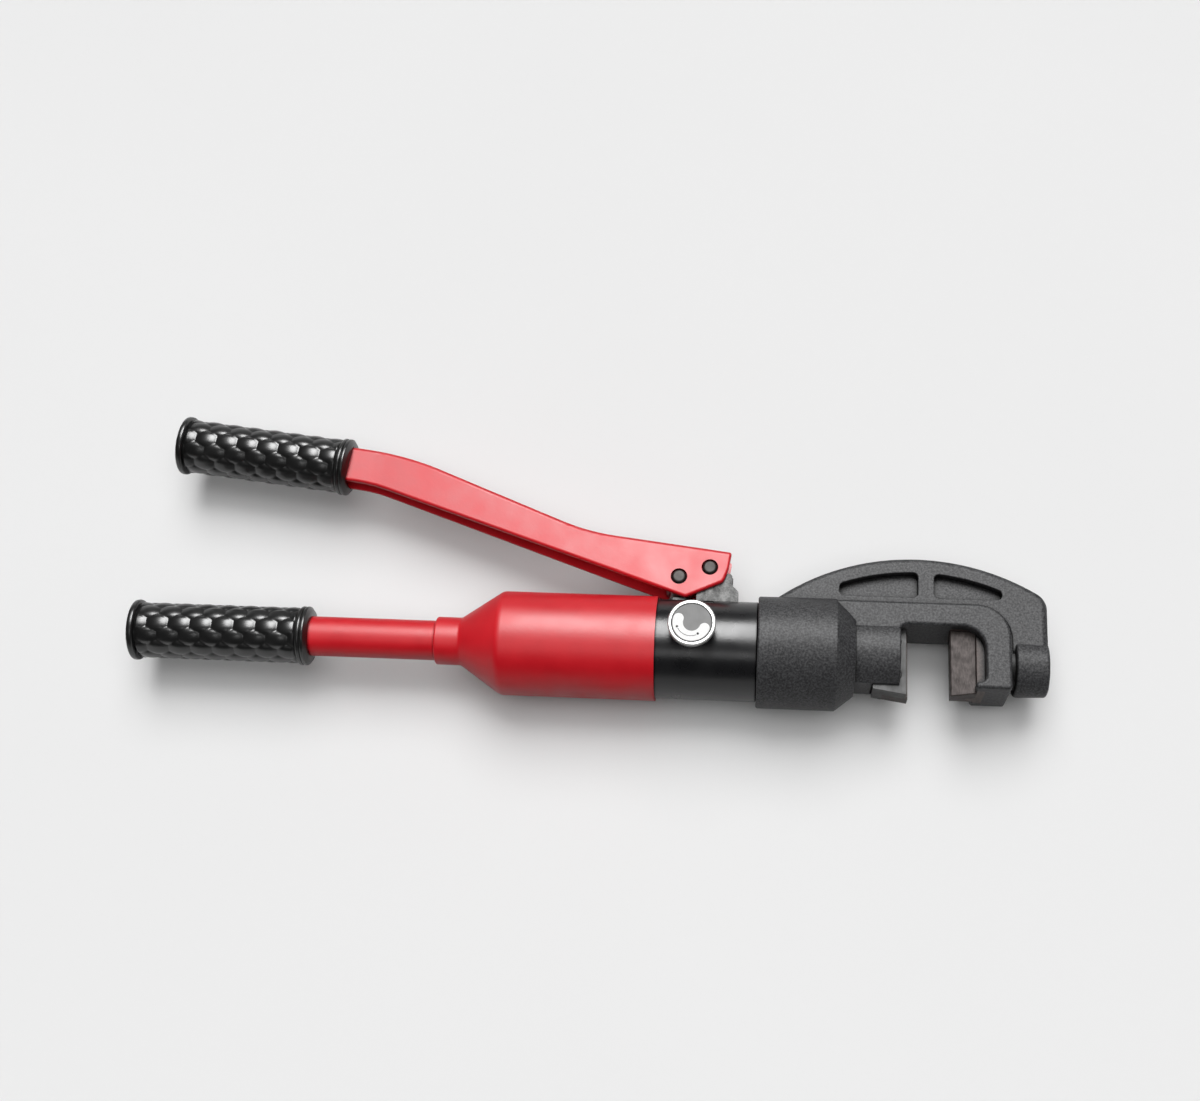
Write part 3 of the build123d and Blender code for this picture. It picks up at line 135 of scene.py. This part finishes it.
class Shader(Nodes):
    """One node material with a principled surface."""

    def __init__(self, name, colour, roughness, metallic=0.0, ior=1.5):
        self.material = bpy.data.materials.new(name)
        self.material.use_nodes = True
        super().__init__(self.material.node_tree)
        self.surface = self.nodes["Principled BSDF"]
        self.surface.inputs["Base Color"].default_value = (*colour, 1.0)
        self.surface.inputs["Roughness"].default_value = roughness
        self.surface.inputs["Metallic"].default_value = metallic
        self.surface.inputs["IOR"].default_value = ior
        self.place = self.add("ShaderNodeTexCoord").outputs["Object"]

    def noise(self, size, detail=2.0, roughness=0.5, stretch=None):
        """Noise with grains of about that size in metres."""
        node = self.add("ShaderNodeTexNoise")
        node.inputs["Scale"].default_value = 1.0 / size
        node.inputs["Detail"].default_value = detail
        node.inputs["Roughness"].default_value = roughness
        place = self.place
        if stretch:
            mapping = self.add("ShaderNodeMapping")
            mapping.inputs["Scale"].default_value = stretch
            self.join(place, mapping.inputs["Vector"])
            place = mapping.outputs["Vector"]
        self.join(place, node.inputs["Vector"])
        return node.outputs["Fac"]

    def ramp(self, factor, *stops):
        """Colour ramp through stops (position, colour)."""
        node = self.add("ShaderNodeValToRGB")
        elements = node.color_ramp.elements
        while len(elements) < len(stops):
            elements.new(0.5)
        for element, (position, colour) in zip(elements, stops):
            element.position = position
            element.color = (*colour, 1.0)
        self.join(factor, node.inputs["Fac"])
        return node.outputs["Color"]

    def blend(self, factor, a, b):
        """Mix of two colours by a factor."""
        node = self.add("ShaderNodeMix", data_type="RGBA")
        self.join(factor, node.inputs["Factor"])
        for name, colour in (("A_Color", a), ("B_Color", b)):
            socket = next(s for s in node.inputs if s.identifier == name)
            if isinstance(colour, tuple):
                socket.default_value = (*colour, 1.0)
            else:
                self.join(colour, socket)
        return next(s for s in node.outputs if s.identifier == "Result_Color")

    def inside(self, low, high):
        """1 within a box of the tool's frame, 0 outside it."""
        parts = self.add("ShaderNodeSeparateXYZ")
        self.join(self.place, parts.inputs["Vector"])
        mask = None
        for axis, start, end in zip(parts.outputs, low, high):
            within = self.combine("MULTIPLY", self.combine("GREATER_THAN", axis, start),
                                  self.combine("LESS_THAN", axis, end))
            mask = within if mask is None else self.combine("MULTIPLY", mask, within)
        return mask

    def crease_shade(self, reach, own):
        """Ambient occlusion for painted shade: 1 on open surface, falling to 0 in creases, either the piece's own
        or beside others too.
        """
        node = self.add("ShaderNodeAmbientOcclusion", samples=8, only_local=own)
        node.inputs["Distance"].default_value = reach
        return node.outputs["AO"]

    def rounded(self, radius):
        """Normal with the piece's edges softened to a radius."""
        node = self.add("ShaderNodeBevel", samples=8)
        node.inputs["Radius"].default_value = radius
        return node.outputs["Normal"]

    def colour(self, output):
        self.join(output, self.surface.inputs["Base Color"])

    def roughness(self, output):
        self.join(output, self.surface.inputs["Roughness"])

    def gloss(self, output):
        self.join(output, self.surface.inputs["Specular IOR Level"])

    def bump(self, *layers, normal=None):
        """Stacked bump layers (height output, distance in metres, strength) on a normal."""
        for height, distance, strength in layers:
            node = self.add("ShaderNodeBump")
            node.inputs["Distance"].default_value = distance
            node.inputs["Strength"].default_value = strength
            self.join(height, node.inputs["Height"])
            if normal:
                self.join(normal, node.inputs["Normal"])
            normal = node.outputs["Normal"]
        self.join(normal, self.surface.inputs["Normal"])


NOISE_RANGE = (0.3, 0.7)        # where most of a noise lies
GRAIN_RANGE = (0.36, 0.64)      # the same for the casting's finer grain
PAINT_SHADE_RANGE = (0.4, 0.85)      # occlusion over which the painted shade fades, from full in a tight recess to none on plain paint
CAST_SHADE_RANGE = (0.55, 0.98)     # the same painted shade for the casting's pockets
PAINT_CLOUD = 18 * MM
PAINT_PEEL = 1.6 * MM
PAINT_DUST = 0.4 * MM
PAINT_SHADE_REACH = 2.5 * MM
CAST_GRAIN = 1.2 * MM
CAST_LUMPS = 3.0 * MM
CAST_CLOUD = 14 * MM
CAST_SHADE_REACH = 5 * MM
CAST_EDGE = 1.0 * MM
SEAT_MOTTLE = 3 * MM
STEEL_MOTTLE = 5 * MM
PVC_CLOUD = 9 * MM
PVC_RIPPLE = 2.5 * MM
RUBBER_BLOOM = 4 * MM
RUBBER_GRAIN = 0.6 * MM
MARK_UNEVENNESS = 0.8 * MM
FLOOR_CLOUD = 0.4


def dimmed(colour, share):
    return tuple(share * c for c in colour)


def satin_paint(name, colour, deep, roughness, ior):
    """Sprayed paint: soft cloudiness, orange peel and slightly uneven gloss, with painted shade that darkens its
    colour and gloss in tight recesses.
    """
    paint = Shader(name, colour, roughness, ior=ior)
    cloud = paint.noise(PAINT_CLOUD, 3)
    low, high = NOISE_RANGE
    tone = paint.ramp(cloud, (low, deep), (high, colour))
    # painted shade: ambient occlusion darkens the paint towards a dim deep tone and takes its gloss away in tight
    # recesses and beside other parts
    unshaded = paint.crease_shade(PAINT_SHADE_REACH, False)
    unshaded_share = paint.span(unshaded, *PAINT_SHADE_RANGE, 0.0, 1.0)
    paint.colour(paint.blend(unshaded_share, dimmed(deep, 0.1), tone))
    paint.gloss(paint.span(unshaded, *PAINT_SHADE_RANGE, 0.0, 0.5))
    paint.roughness(paint.span(cloud, *NOISE_RANGE, roughness - 0.05, roughness + 0.05))
    peel = paint.noise(PAINT_PEEL, 1)
    dust = paint.noise(PAINT_DUST, 1)
    paint.bump((peel, 0.06 * MM, 0.5), (dust, 0.008 * MM, 0.3))
    return paint.material


def cast_coat(name, colour, dark, pale, bare, bare_box):
    """Speckled coating over a rough casting, left off where the blade seat is machined, with painted shade in its
    pockets and creases.
    """
    coat = Shader(name, colour, 0.5, ior=1.35)
    grain = coat.noise(CAST_GRAIN, 3, 0.6)
    cloud = coat.noise(CAST_CLOUD, 3)
    low, high = GRAIN_RANGE
    speckle = coat.ramp(grain, (low, dark), (0.5, colour), (high, pale))
    shade = coat.ramp(cloud, (0.25, dark), (0.75, colour))
    painted = coat.blend(coat.span(cloud, 0.2, 0.8, 0.65, 0.9), shade, speckle)
    mottle = coat.noise(SEAT_MOTTLE, 3)
    machined = coat.ramp(mottle, (0.35, dimmed(bare, 0.6)), (0.65, bare))
    finish = coat.blend(coat.inside(*bare_box), painted, machined)
    # painted shade: the casting's own ambient occlusion darkens the coat in pockets, grooves and creases
    unshaded_share = coat.span(coat.crease_shade(CAST_SHADE_REACH, True), *CAST_SHADE_RANGE, 0.0, 1.0)
    coat.colour(coat.blend(unshaded_share, dimmed(dark, 0.15), finish))
    coat.roughness(coat.span(grain, *NOISE_RANGE, 0.46, 0.6))
    coat.gloss(coat.span(grain, *GRAIN_RANGE, 0.34, 0.80))
    lumps = coat.noise(CAST_LUMPS, 3)
    coat.bump((lumps, 0.15 * MM, 0.4), (grain, 0.08 * MM, 0.5), normal=coat.rounded(CAST_EDGE))
    return coat.material


def worked_metal(name, colour, dark, roughness, grain_size, stretch=None, metallic=1.0):
    """Bare or plated steel with directional marks and a mottled tone."""
    metal = Shader(name, colour, roughness, metallic, ior=1.28)
    marks = metal.noise(grain_size, 3, 0.6, stretch)
    mottle = metal.noise(STEEL_MOTTLE, 3)
    tone = metal.combine("ADD", metal.combine("MULTIPLY", marks, 0.45),
                         metal.combine("MULTIPLY", mottle, 0.55))
    metal.colour(metal.ramp(tone, (0.36, dark), (0.62, colour)))
    metal.roughness(metal.span(tone, *NOISE_RANGE, roughness + 0.08, roughness - 0.05))
    metal.bump((marks, 0.02 * MM, 0.35))
    return metal.material


def moulded_pvc(name, colour, pale):
    """Dipped glossy plastic, faintly uneven."""
    plastic = Shader(name, colour, 0.3, ior=1.6)
    cloud = plastic.noise(PVC_CLOUD, 2)
    plastic.colour(plastic.ramp(cloud, (0.3, colour), (0.75, pale)))
    plastic.roughness(plastic.span(cloud, *NOISE_RANGE, 0.28, 0.32))
    plastic.bump((plastic.noise(PVC_RIPPLE, 2), 0.03 * MM, 0.25))
    return plastic.material


def soft_rubber(name, colour, dark, pale):
    """Matt rubber with a faint bloom."""
    rubber = Shader(name, colour, 0.7)
    bloom = rubber.noise(RUBBER_BLOOM, 3)
    rubber.colour(rubber.ramp(bloom, (0.3, dark), (0.8, pale)))
    rubber.bump((rubber.noise(RUBBER_GRAIN, 2), 0.02 * MM, 0.4))
    return rubber.material


def flat_mark(name, colour):
    """Flat mark with slightly uneven tone, used for the knob's printed crescent, dots and line and for its thin
    dark ring near the rim.
    """
    mark_shader = Shader(name, colour, 0.5, ior=1.28)
    unevenness = mark_shader.noise(MARK_UNEVENNESS, 2)
    paler = tuple(0.9 * c + 0.01 for c in colour)
    mark_shader.colour(mark_shader.ramp(unevenness, (0.3, paler), (0.6, colour)))
    return mark_shader.material


def pale_floor(name, shown, bounced):
    """Pale floor that throws less light back at the tool than it shows."""
    surface = Shader(name, shown, 0.6)
    cloud = surface.noise(FLOOR_CLOUD, 2)
    low, high = NOISE_RANGE
    pale = surface.ramp(cloud, (low, dimmed(shown, 0.985)), (high, shown))
    surface.colour(surface.blend(surface.seen(), bounced, pale))
    surface.surface.inputs["Specular IOR Level"].default_value = 0.0
    return surface.material


BLADE_LOW, BLADE_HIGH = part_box("fixed_blade")
SEAT_MARGIN = 5.0 * MM
SEAT_BOTTOM = -1.0              # open below
SEAT_TOP = 15.6 * MM
SEAT_HALF_Z = 12.1 * MM
SEAT_LOW = (BLADE_LOW[0], SEAT_BOTTOM, -SEAT_HALF_Z)
SEAT_HIGH = (BLADE_HIGH[0] + SEAT_MARGIN, SEAT_TOP, SEAT_HALF_Z)
RUST_GREY = (0.115, 0.087, 0.079)

RED = satin_paint("red_paint", (0.65, 0.006, 0.015), (0.57, 0.004, 0.012), roughness=0.42, ior=1.5)
BLACK = satin_paint("black_paint", (0.010, 0.010, 0.011), (0.007, 0.007, 0.008), roughness=0.3, ior=1.46)
CAST = cast_coat("cast_paint", (0.038, 0.038, 0.040), (0.021, 0.021, 0.022), (0.068, 0.068, 0.071),
                 RUST_GREY, (SEAT_LOW, SEAT_HIGH))
ZINC = worked_metal("zinc_steel", (0.130, 0.130, 0.128), (0.040, 0.040, 0.039),
                    roughness=0.45, grain_size=1.0 * MM, metallic=0.15)
GROUND = worked_metal("ground_steel", (0.36, 0.36, 0.36), (0.26, 0.26, 0.26),
                      roughness=0.32, grain_size=0.5 * MM, stretch=(1, 1, 0.1))
SHOE = worked_metal("shoe_steel", (0.062, 0.062, 0.062), (0.04, 0.04, 0.04),
                    roughness=0.45, grain_size=0.5 * MM, stretch=(1, 0.1, 1), metallic=0.3)
BLADE = worked_metal("blade_steel", (0.070, 0.058, 0.055), (0.032, 0.026, 0.024),
                     roughness=0.5, grain_size=0.6 * MM, stretch=(1, 0.2, 1), metallic=0.2)
BLACK_STEEL = worked_metal("black_steel", (0.05, 0.05, 0.05), (0.025, 0.025, 0.025),
                           roughness=0.4, grain_size=0.6 * MM)
SPRING = worked_metal("spring_steel", (0.3, 0.3, 0.3), (0.19, 0.19, 0.19),
                      roughness=0.35, grain_size=0.6 * MM)
KNOB = worked_metal("knob_metal", (0.52, 0.52, 0.51), (0.42, 0.42, 0.41),
                    roughness=0.3, grain_size=0.5 * MM, metallic=0.45)
PLATE = worked_metal("plate_metal", (0.232, 0.232, 0.23), (0.216, 0.216, 0.214),
                     roughness=0.5, grain_size=0.4 * MM, stretch=(1, 0.06, 1), metallic=0.0)
PIN = worked_metal("pin_steel", (0.036, 0.032, 0.030), (0.022, 0.019, 0.018),
                   roughness=0.42, grain_size=0.6 * MM, metallic=0.3)
PVC = moulded_pvc("grip_pvc", (0.006, 0.006, 0.006), (0.010, 0.010, 0.010))
RUBBER = soft_rubber("seal_rubber", (0.018, 0.018, 0.018), (0.012, 0.012, 0.012), (0.03, 0.03, 0.03))
WHITE_INK = flat_mark("white_ink", (0.87, 0.87, 0.86))
DARK_MARK = flat_mark("dark_mark", (0.03, 0.03, 0.03))

SLOT_MATERIALS = {
    "red_paint": RED, "black_paint": BLACK, "cast_paint": CAST, "grip_pvc": PVC, "zinc_steel": ZINC,
    "ground_steel": GROUND, "blade_steel": BLADE, "black_steel": BLACK_STEEL, "spring_steel": SPRING,
    "knob_metal": KNOB, "plate_metal": PLATE, "seal_rubber": RUBBER,
}
NODE_MATERIALS = {"fulcrum_pin": PIN, "plunger_pin": PIN, "ram": SHOE}


def dress_nodes():
    """Gives every carried-over node the material of its slot, or its own."""
    slots = {row["node"]: row["material_slot"] for row in frame["record"]["subparts"]}
    for name, node in frame["nodes"].items():
        node.data.materials.clear()
        node.data.materials.append(NODE_MATERIALS.get(name, SLOT_MATERIALS[slots[name]]))


# Mesh helpers

def new_piece(name, mesh, material, body):
    """Smooth-shaded object from a bmesh, riding on a body."""
    data = bpy.data.meshes.new(name)
    mesh.to_mesh(data)
    mesh.free()
    data.materials.append(material)
    piece = bpy.data.objects.new(name, data)
    bpy.context.scene.collection.objects.link(piece)
    for polygon in data.polygons:
        polygon.use_smooth = True
    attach(piece, body)
    return piece


def sharpen(mesh, angle):
    """Keeps edges steeper than the angle crisp under smooth shading."""
    mesh.normal_update()
    for edge in mesh.edges:
        edge.smooth = edge.calc_face_angle(0.0) < angle


def lathe(rings, steps, place):
    """Skin through rings, each a function of the angle that gives (radius, height)."""
    mesh = bmesh.new()
    rows = []
    for ring in rings:
        row = []
        for step in range(steps):
            angle = FULL_TURN * step / steps
            radius, height = ring(angle)
            point = Vector((radius * math.cos(angle), radius * math.sin(angle), height))
            row.append(mesh.verts.new(place @ point))
        rows.append(row)
    for low, high in zip(rows, rows[1:]):
        for step in range(steps):
            after = (step + 1) % steps
            mesh.faces.new((low[step], low[after], high[after], high[step]))
    return mesh, rows


def plain_ring(radius, height):
    return lambda angle: (radius, height)


# Grips: heights are distances behind the front
GRIP_LENGTH = 115.0 * MM
GRIP_VALLEY_R = 16.4 * MM
GRIP_CREST = 1.4 * MM
GRIP_RING_R = 18.6 * MM
GRIP_FLANGE_R = 19.3 * MM
GRIP_HOLE_DEPTH = 3.0 * MM
GRIP_ROWS = 12
BUMP_PITCH = 14.05 * MM
BUMP_HALF_LENGTH = 0.527        # in pitches
BUMP_HALF_WIDTH = 0.68          # in row spacings
BUMP_UNION = 6                  # how sharply neighbouring bumps meet
BUMP_GRID = 30                  # mesh steps to a pitch
GRIP_STEPS = BUMP_GRID * GRIP_ROWS // 2
BUMPS_FROM = 6.7 * MM
BUMPS_TO = GRIP_LENGTH - 4.4 * MM
BUMP_FADE = 1.4 * MM
LAST_BUMP = GRIP_LENGTH - 5.1 * MM
BEAD_STEPS = 12
BEAD_RISE = 0.8                 # height of a bead in half widths
FRONT_BEADS = ((1.3 * MM, 3.8 * MM), (4.0 * MM, 6.5 * MM))
FLANGE_BEAD = (GRIP_LENGTH - 4.0 * MM, GRIP_LENGTH - 0.1 * MM)
END_DISH = ((15.5 * MM, 0.0), (14.5 * MM, 0.5 * MM), (4.0 * MM, 0.2 * MM))      # radius and sink
VALLEY_ANGLE = math.radians(50)
SMALLEST = 1e-6


def bump_height(along, around):
    """Height, from 0 to 1, of the staggered pillows at a place in pitches and row spacings."""
    total = 0.0
    middle = round(around)
    for row in (middle - 1, middle, middle + 1):
        shifted = along - 0.5 * (row % 2)
        across = abs(around - row) / BUMP_HALF_WIDTH
        nearest = round(shifted)
        for place in (nearest - 1, nearest, nearest + 1):
            lengthways = (shifted - place) / BUMP_HALF_LENGTH
            pillow = 1.0 - lengthways**2 - across**4
            total += max(pillow, 0.0)**BUMP_UNION
    return total**(1 / BUMP_UNION)


def bump_ring(height):
    """Ring through the staggered bumps."""
    along = (LAST_BUMP - height) / BUMP_PITCH
    fade = min(1.0, (height - BUMPS_FROM) / BUMP_FADE, (BUMPS_TO - height) / BUMP_FADE)
    crest = GRIP_CREST * max(fade, 0.0)
    return lambda angle: (
        GRIP_VALLEY_R + crest * bump_height(along, angle * GRIP_ROWS / FULL_TURN), height,
    )


def bump_heights():
    """Stations of the bump rings."""
    count = round((BUMPS_TO - BUMPS_FROM) * BUMP_GRID / BUMP_PITCH)
    return [BUMPS_FROM + (BUMPS_TO - BUMPS_FROM) * index / count for index in range(count + 1)]


def square_ring(half_x, half_y, height):
    """Ring along a rectangle's outline."""
    def ring(angle):
        to_side = half_x / max(abs(math.cos(angle)), SMALLEST)
        to_top = half_y / max(abs(math.sin(angle)), SMALLEST)
        return min(to_side, to_top), height
    return ring


def bead(radius, low, high):
    """Bead with a flattened round crest that stands on a smaller radius, between two heights."""
    middle = (low + high) / 2
    half = (high - low) / 2
    rings = []
    for index in range(BEAD_STEPS + 1):
        turn = math.pi * index / BEAD_STEPS
        sink = BEAD_RISE * half * (1 - math.sqrt(math.sin(turn)))
        rings.append(plain_ring(radius - sink, middle - half * math.cos(turn)))
    return rings


def grip(name, node, body, place, hole):
    """Moulded grip along the place's Z: two beads, quilted bumps, a flange and a closed end."""
    rings = [hole(GRIP_HOLE_DEPTH), hole(0), plain_ring(GRIP_VALLEY_R, 0)]
    for low, high in FRONT_BEADS:
        rings += bead(GRIP_RING_R, low, high)
    rings += [bump_ring(height) for height in bump_heights()]
    rings += bead(GRIP_FLANGE_R, *FLANGE_BEAD)
    rings += [plain_ring(radius, GRIP_LENGTH - sink) for radius, sink in END_DISH]
    mesh, rows = lathe(rings, GRIP_STEPS, place)
    mesh.faces.new(rows[-1])
    sharpen(mesh, VALLEY_ANGLE)
    piece = new_piece(name, mesh, PVC, body)
    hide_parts(node)


def grips():
    """One moulding on the handle tube and one on the lever's tail."""
    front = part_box("rear_grip")[1][0]
    along_handle = Matrix(((0, 0, -1, front), (0, 1, 0, 0), (1, 0, 0, 0), (0, 0, 0, 1)))
    grip("rear_grip_skin", "rear_grip", "tool", along_handle,
         lambda height: plain_ring(TUBE_R, height))
    c, s = math.cos(TAIL_SLOPE), math.sin(TAIL_SLOPE)
    along_tail = Matrix((
        (0, s, -c, LEVER_GRIP_FRONT.x), (0, c, s, LEVER_GRIP_FRONT.y), (1, 0, 0, 0), (0, 0, 0, 1),
    ))
    grip("lever_grip_skin", "lever_grip", "lever", along_tail,
         lambda height: square_ring(TAIL_HALF_Z, TAIL_HALF_Y, height))


# Marks on the knob's disc
MARK_THICKNESS = 0.08 * MM
MARK_EDGE = math.radians(30)
CRESCENT_R = 8.35 * MM
CRESCENT_HALF = 3.1 * MM
CRESCENT_FROM = math.radians(162)
CRESCENT_TO = math.radians(338)
DOT_R = 0.75 * MM
DOT_PLACES = ((math.radians(197.6), 9.1 * MM), (math.radians(299.6), 7.9 * MM))
LINE_HALF = 0.16 * MM
LINE_ENDS = ((math.radians(205), 9.0 * MM), (math.radians(292), 8.2 * MM))
DARK_RING_R = 12.0 * MM
DARK_RING_HALF = 0.25 * MM
DARK_RING_PARTS = 4
ARC_STEPS = 48
CAP_STEPS = 16
DOT_STEPS = 24


def polar(angle, radius):
    return Vector((radius * math.cos(angle), radius * math.sin(angle)))


def raised_mark(name, points, level, material):
    """Thin plate with the outline of points about the knob's axis, on a level of the disc."""
    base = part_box("knob_plate")[1][2] + level * MARK_THICKNESS
    mesh = bmesh.new()
    foot = [mesh.verts.new((KNOB_AXIS.x + p.x, KNOB_AXIS.y + p.y, base)) for p in points]
    bottom = mesh.faces.new(foot)
    bottom.normal_update()
    if bottom.normal.z > 0:
        bottom.normal_flip()
    top = bmesh.ops.extrude_face_region(mesh, geom=[bottom], use_keep_orig=True)["geom"]
    for vertex in (item for item in top if isinstance(item, bmesh.types.BMVert)):
        vertex.co.z += MARK_THICKNESS
    bmesh.ops.recalc_face_normals(mesh, faces=mesh.faces)
    sharpen(mesh, MARK_EDGE)
    new_piece(name, mesh, material, "release")


def arc_band(start, end, half, caps=0):
    """Outline of a band between two polar points (angle, radius), with round ends if asked."""
    centres = []
    for index in range(ARC_STEPS + 1):
        share = index / ARC_STEPS
        centres.append((start[0] + share * (end[0] - start[0]), start[1] + share * (end[1] - start[1])))
    outer = [polar(angle, radius + half) for angle, radius in centres]
    inner = [polar(angle, radius - half) for angle, radius in reversed(centres)]
    end_cap, start_cap = [], []
    for index in range(1, caps):
        turn = math.pi * index / caps
        end_cap.append(polar(*end) + polar(end[0] + turn, half))
        start_cap.append(polar(*start) + polar(start[0] + math.pi + turn, half))
    return outer + end_cap + inner + start_cap


def knob_marks():
    """Plain crescent with two dots and a line on it, and a thin dark ring near the rim."""
    crescent = arc_band((CRESCENT_FROM, CRESCENT_R), (CRESCENT_TO, CRESCENT_R), CRESCENT_HALF, CAP_STEPS)
    raised_mark("knob_crescent", crescent, 0, WHITE_INK)
    raised_mark("knob_line", arc_band(*LINE_ENDS, LINE_HALF), 1, DARK_MARK)
    for index, place in enumerate(DOT_PLACES):
        dot = [polar(*place) + polar(FULL_TURN * step / DOT_STEPS, DOT_R) for step in range(DOT_STEPS)]
        raised_mark(f"knob_dot_{index}", dot, 1, DARK_MARK)
    # thin dark ring just inside the rim, in the dark mark colour
    part = FULL_TURN / DARK_RING_PARTS
    for index in range(DARK_RING_PARTS):
        ends = ((index * part, DARK_RING_R), ((index + 1) * part, DARK_RING_R))
        raised_mark(f"knob_dark_ring_{index}", arc_band(*ends, DARK_RING_HALF), 0, DARK_MARK)


# Stage, light and camera
STAGE_HALF = 60.0
FLOOR_SHOWN = (0.78, 0.78, 0.78)
FLOOR_BOUNCED = (0.05, 0.05, 0.05)
HORIZON_LEVEL = 0.84
SKY_LEVEL = 0.04
HAZE_FROM = math.sin(math.radians(3.5))
HAZE_TO = math.sin(math.radians(8))
LAMP_DISTANCE = 4.0
KEY_WAY = Vector((0.0, 0.515, 0.857))
KEY_HALF_ANGLE = math.radians(21.5)
KEY_RADIANCE = 4.42
KEY_GLEAM_HALF_ANGLES = (math.radians(12.5), math.radians(21.5))
KEY_GLEAM_RADIANCE = 20.5
FRONT_WAY = Vector((0.05, -0.06, 1.0))
FRONT_HALF_ANGLE = math.radians(30.6)
FRONT_RADIANCE = 2.12
CARD_WAY = Vector((0.0, -0.438, 0.899))
CARD_GLEAM_HALF_ANGLES = (math.radians(7.8), math.radians(7.8))
CARD_GLEAM_RADIANCE = 3.3
NEAREST_SEEN = 0.01


def floor():
    """Wide pale plane under the tool."""
    mesh = bmesh.new()
    bmesh.ops.create_grid(mesh, x_segments=1, y_segments=1, size=STAGE_HALF)
    data = bpy.data.meshes.new("floor")
    mesh.to_mesh(data)
    mesh.free()
    data.materials.append(pale_floor("pale_floor", FLOOR_SHOWN, FLOOR_BOUNCED))
    plane = bpy.data.objects.new("floor", data)
    plane.location.z = FLOOR_Z
    bpy.context.scene.collection.objects.link(plane)


def add_lamp(lamp, way):
    """Places a lamp out along a direction, turned to the tool."""
    holder = bpy.data.objects.new(lamp.name, lamp)
    holder.location = LAMP_DISTANCE * way
    holder.rotation_euler = way.to_track_quat("Z", "Y").to_euler()
    bpy.context.scene.collection.objects.link(holder)
    return holder


def plain_light(name, way, half_angle, radiance):
    """Round distant lamp that lights the tool and the whole floor evenly, and isn't mirrored."""
    lamp = bpy.data.lights.new(name, "SUN")
    lamp.angle = 2 * half_angle
    lamp.energy = radiance * math.pi * math.sin(half_angle)**2
    add_lamp(lamp, way).visible_glossy = False


def gleam(name, way, half_angles, radiance):
    """Oval lamp that only shows mirrored in what is glossy."""
    half_width, half_height = (LAMP_DISTANCE * math.tan(angle) for angle in half_angles)
    lamp = bpy.data.lights.new(name, "AREA")
    lamp.shape = "ELLIPSE"
    lamp.size = 2 * half_width
    lamp.size_y = 2 * half_height
    lamp.energy = radiance * math.pi**2 * half_width * half_height
    add_lamp(lamp, way).visible_diffuse = False


def lights():
    plain_light("key_light", KEY_WAY, KEY_HALF_ANGLE, KEY_RADIANCE)
    plain_light("front_light", FRONT_WAY, FRONT_HALF_ANGLE, FRONT_RADIANCE)
    gleam("key_gleam", KEY_WAY, KEY_GLEAM_HALF_ANGLES, KEY_GLEAM_RADIANCE)
    gleam("card_gleam", CARD_WAY, CARD_GLEAM_HALF_ANGLES, CARD_GLEAM_RADIANCE)


def surroundings():
    """World as pale as the floor near the horizon and dim above it, which gives only dim light."""
    world = bpy.data.worlds.new("studio")
    bpy.context.scene.world = world
    world.use_nodes = True
    tree = Nodes(world.node_tree)
    height = tree.add("ShaderNodeSeparateXYZ")
    tree.join(tree.add("ShaderNodeTexCoord").outputs["Generated"], height.inputs["Vector"])
    extra = tree.span(height.outputs["Z"], HAZE_FROM, HAZE_TO, HORIZON_LEVEL - SKY_LEVEL, 0.0)
    strength = tree.combine("ADD", tree.combine("MULTIPLY", tree.seen(), extra), SKY_LEVEL)
    background = tree.nodes["Background"]
    background.inputs["Color"].default_value = (1, 1, 1, 1)
    tree.join(strength, background.inputs["Strength"])


def camera():
    """Camera that sees the tool as the photograph does."""
    along = Vector((math.cos(YAW) * math.cos(ROLL), -math.cos(YAW) * math.sin(ROLL), math.sin(YAW)))
    back = Vector((0, 0, 1))
    facing = (back - back.dot(along) * along).normalized()
    rise = facing.cross(along)
    lever_way = math.cos(TILT) * rise - math.sin(TILT) * facing
    knob_way = math.cos(TILT) * facing + math.sin(TILT) * rise
    from_camera = Matrix((along, lever_way, knob_way))
    seam = Vector((
        (SEAM_PX[0] - PHOTO_WIDTH / 2) * SEAM_DEPTH / LENS_PX,
        -(SEAM_PX[1] - PHOTO_HEIGHT / 2) * SEAM_DEPTH / LENS_PX,
        -SEAM_DEPTH,
    ))
    lens = bpy.data.cameras.new("camera")
    lens.sensor_fit = "HORIZONTAL"
    lens.sensor_width = SENSOR
    lens.lens = SENSOR * LENS_PX / PHOTO_WIDTH
    lens.clip_start = NEAREST_SEEN
    holder = bpy.data.objects.new("camera", lens)
    holder.matrix_world = Matrix.Translation(-(from_camera @ seam)) @ from_camera.to_4x4()
    bpy.context.scene.collection.objects.link(holder)
    bpy.context.scene.camera = holder


dress_nodes()
grips()
knob_marks()
floor()
lights()
surroundings()
camera()
bpy.context.scene.view_settings.view_transform = "Standard"
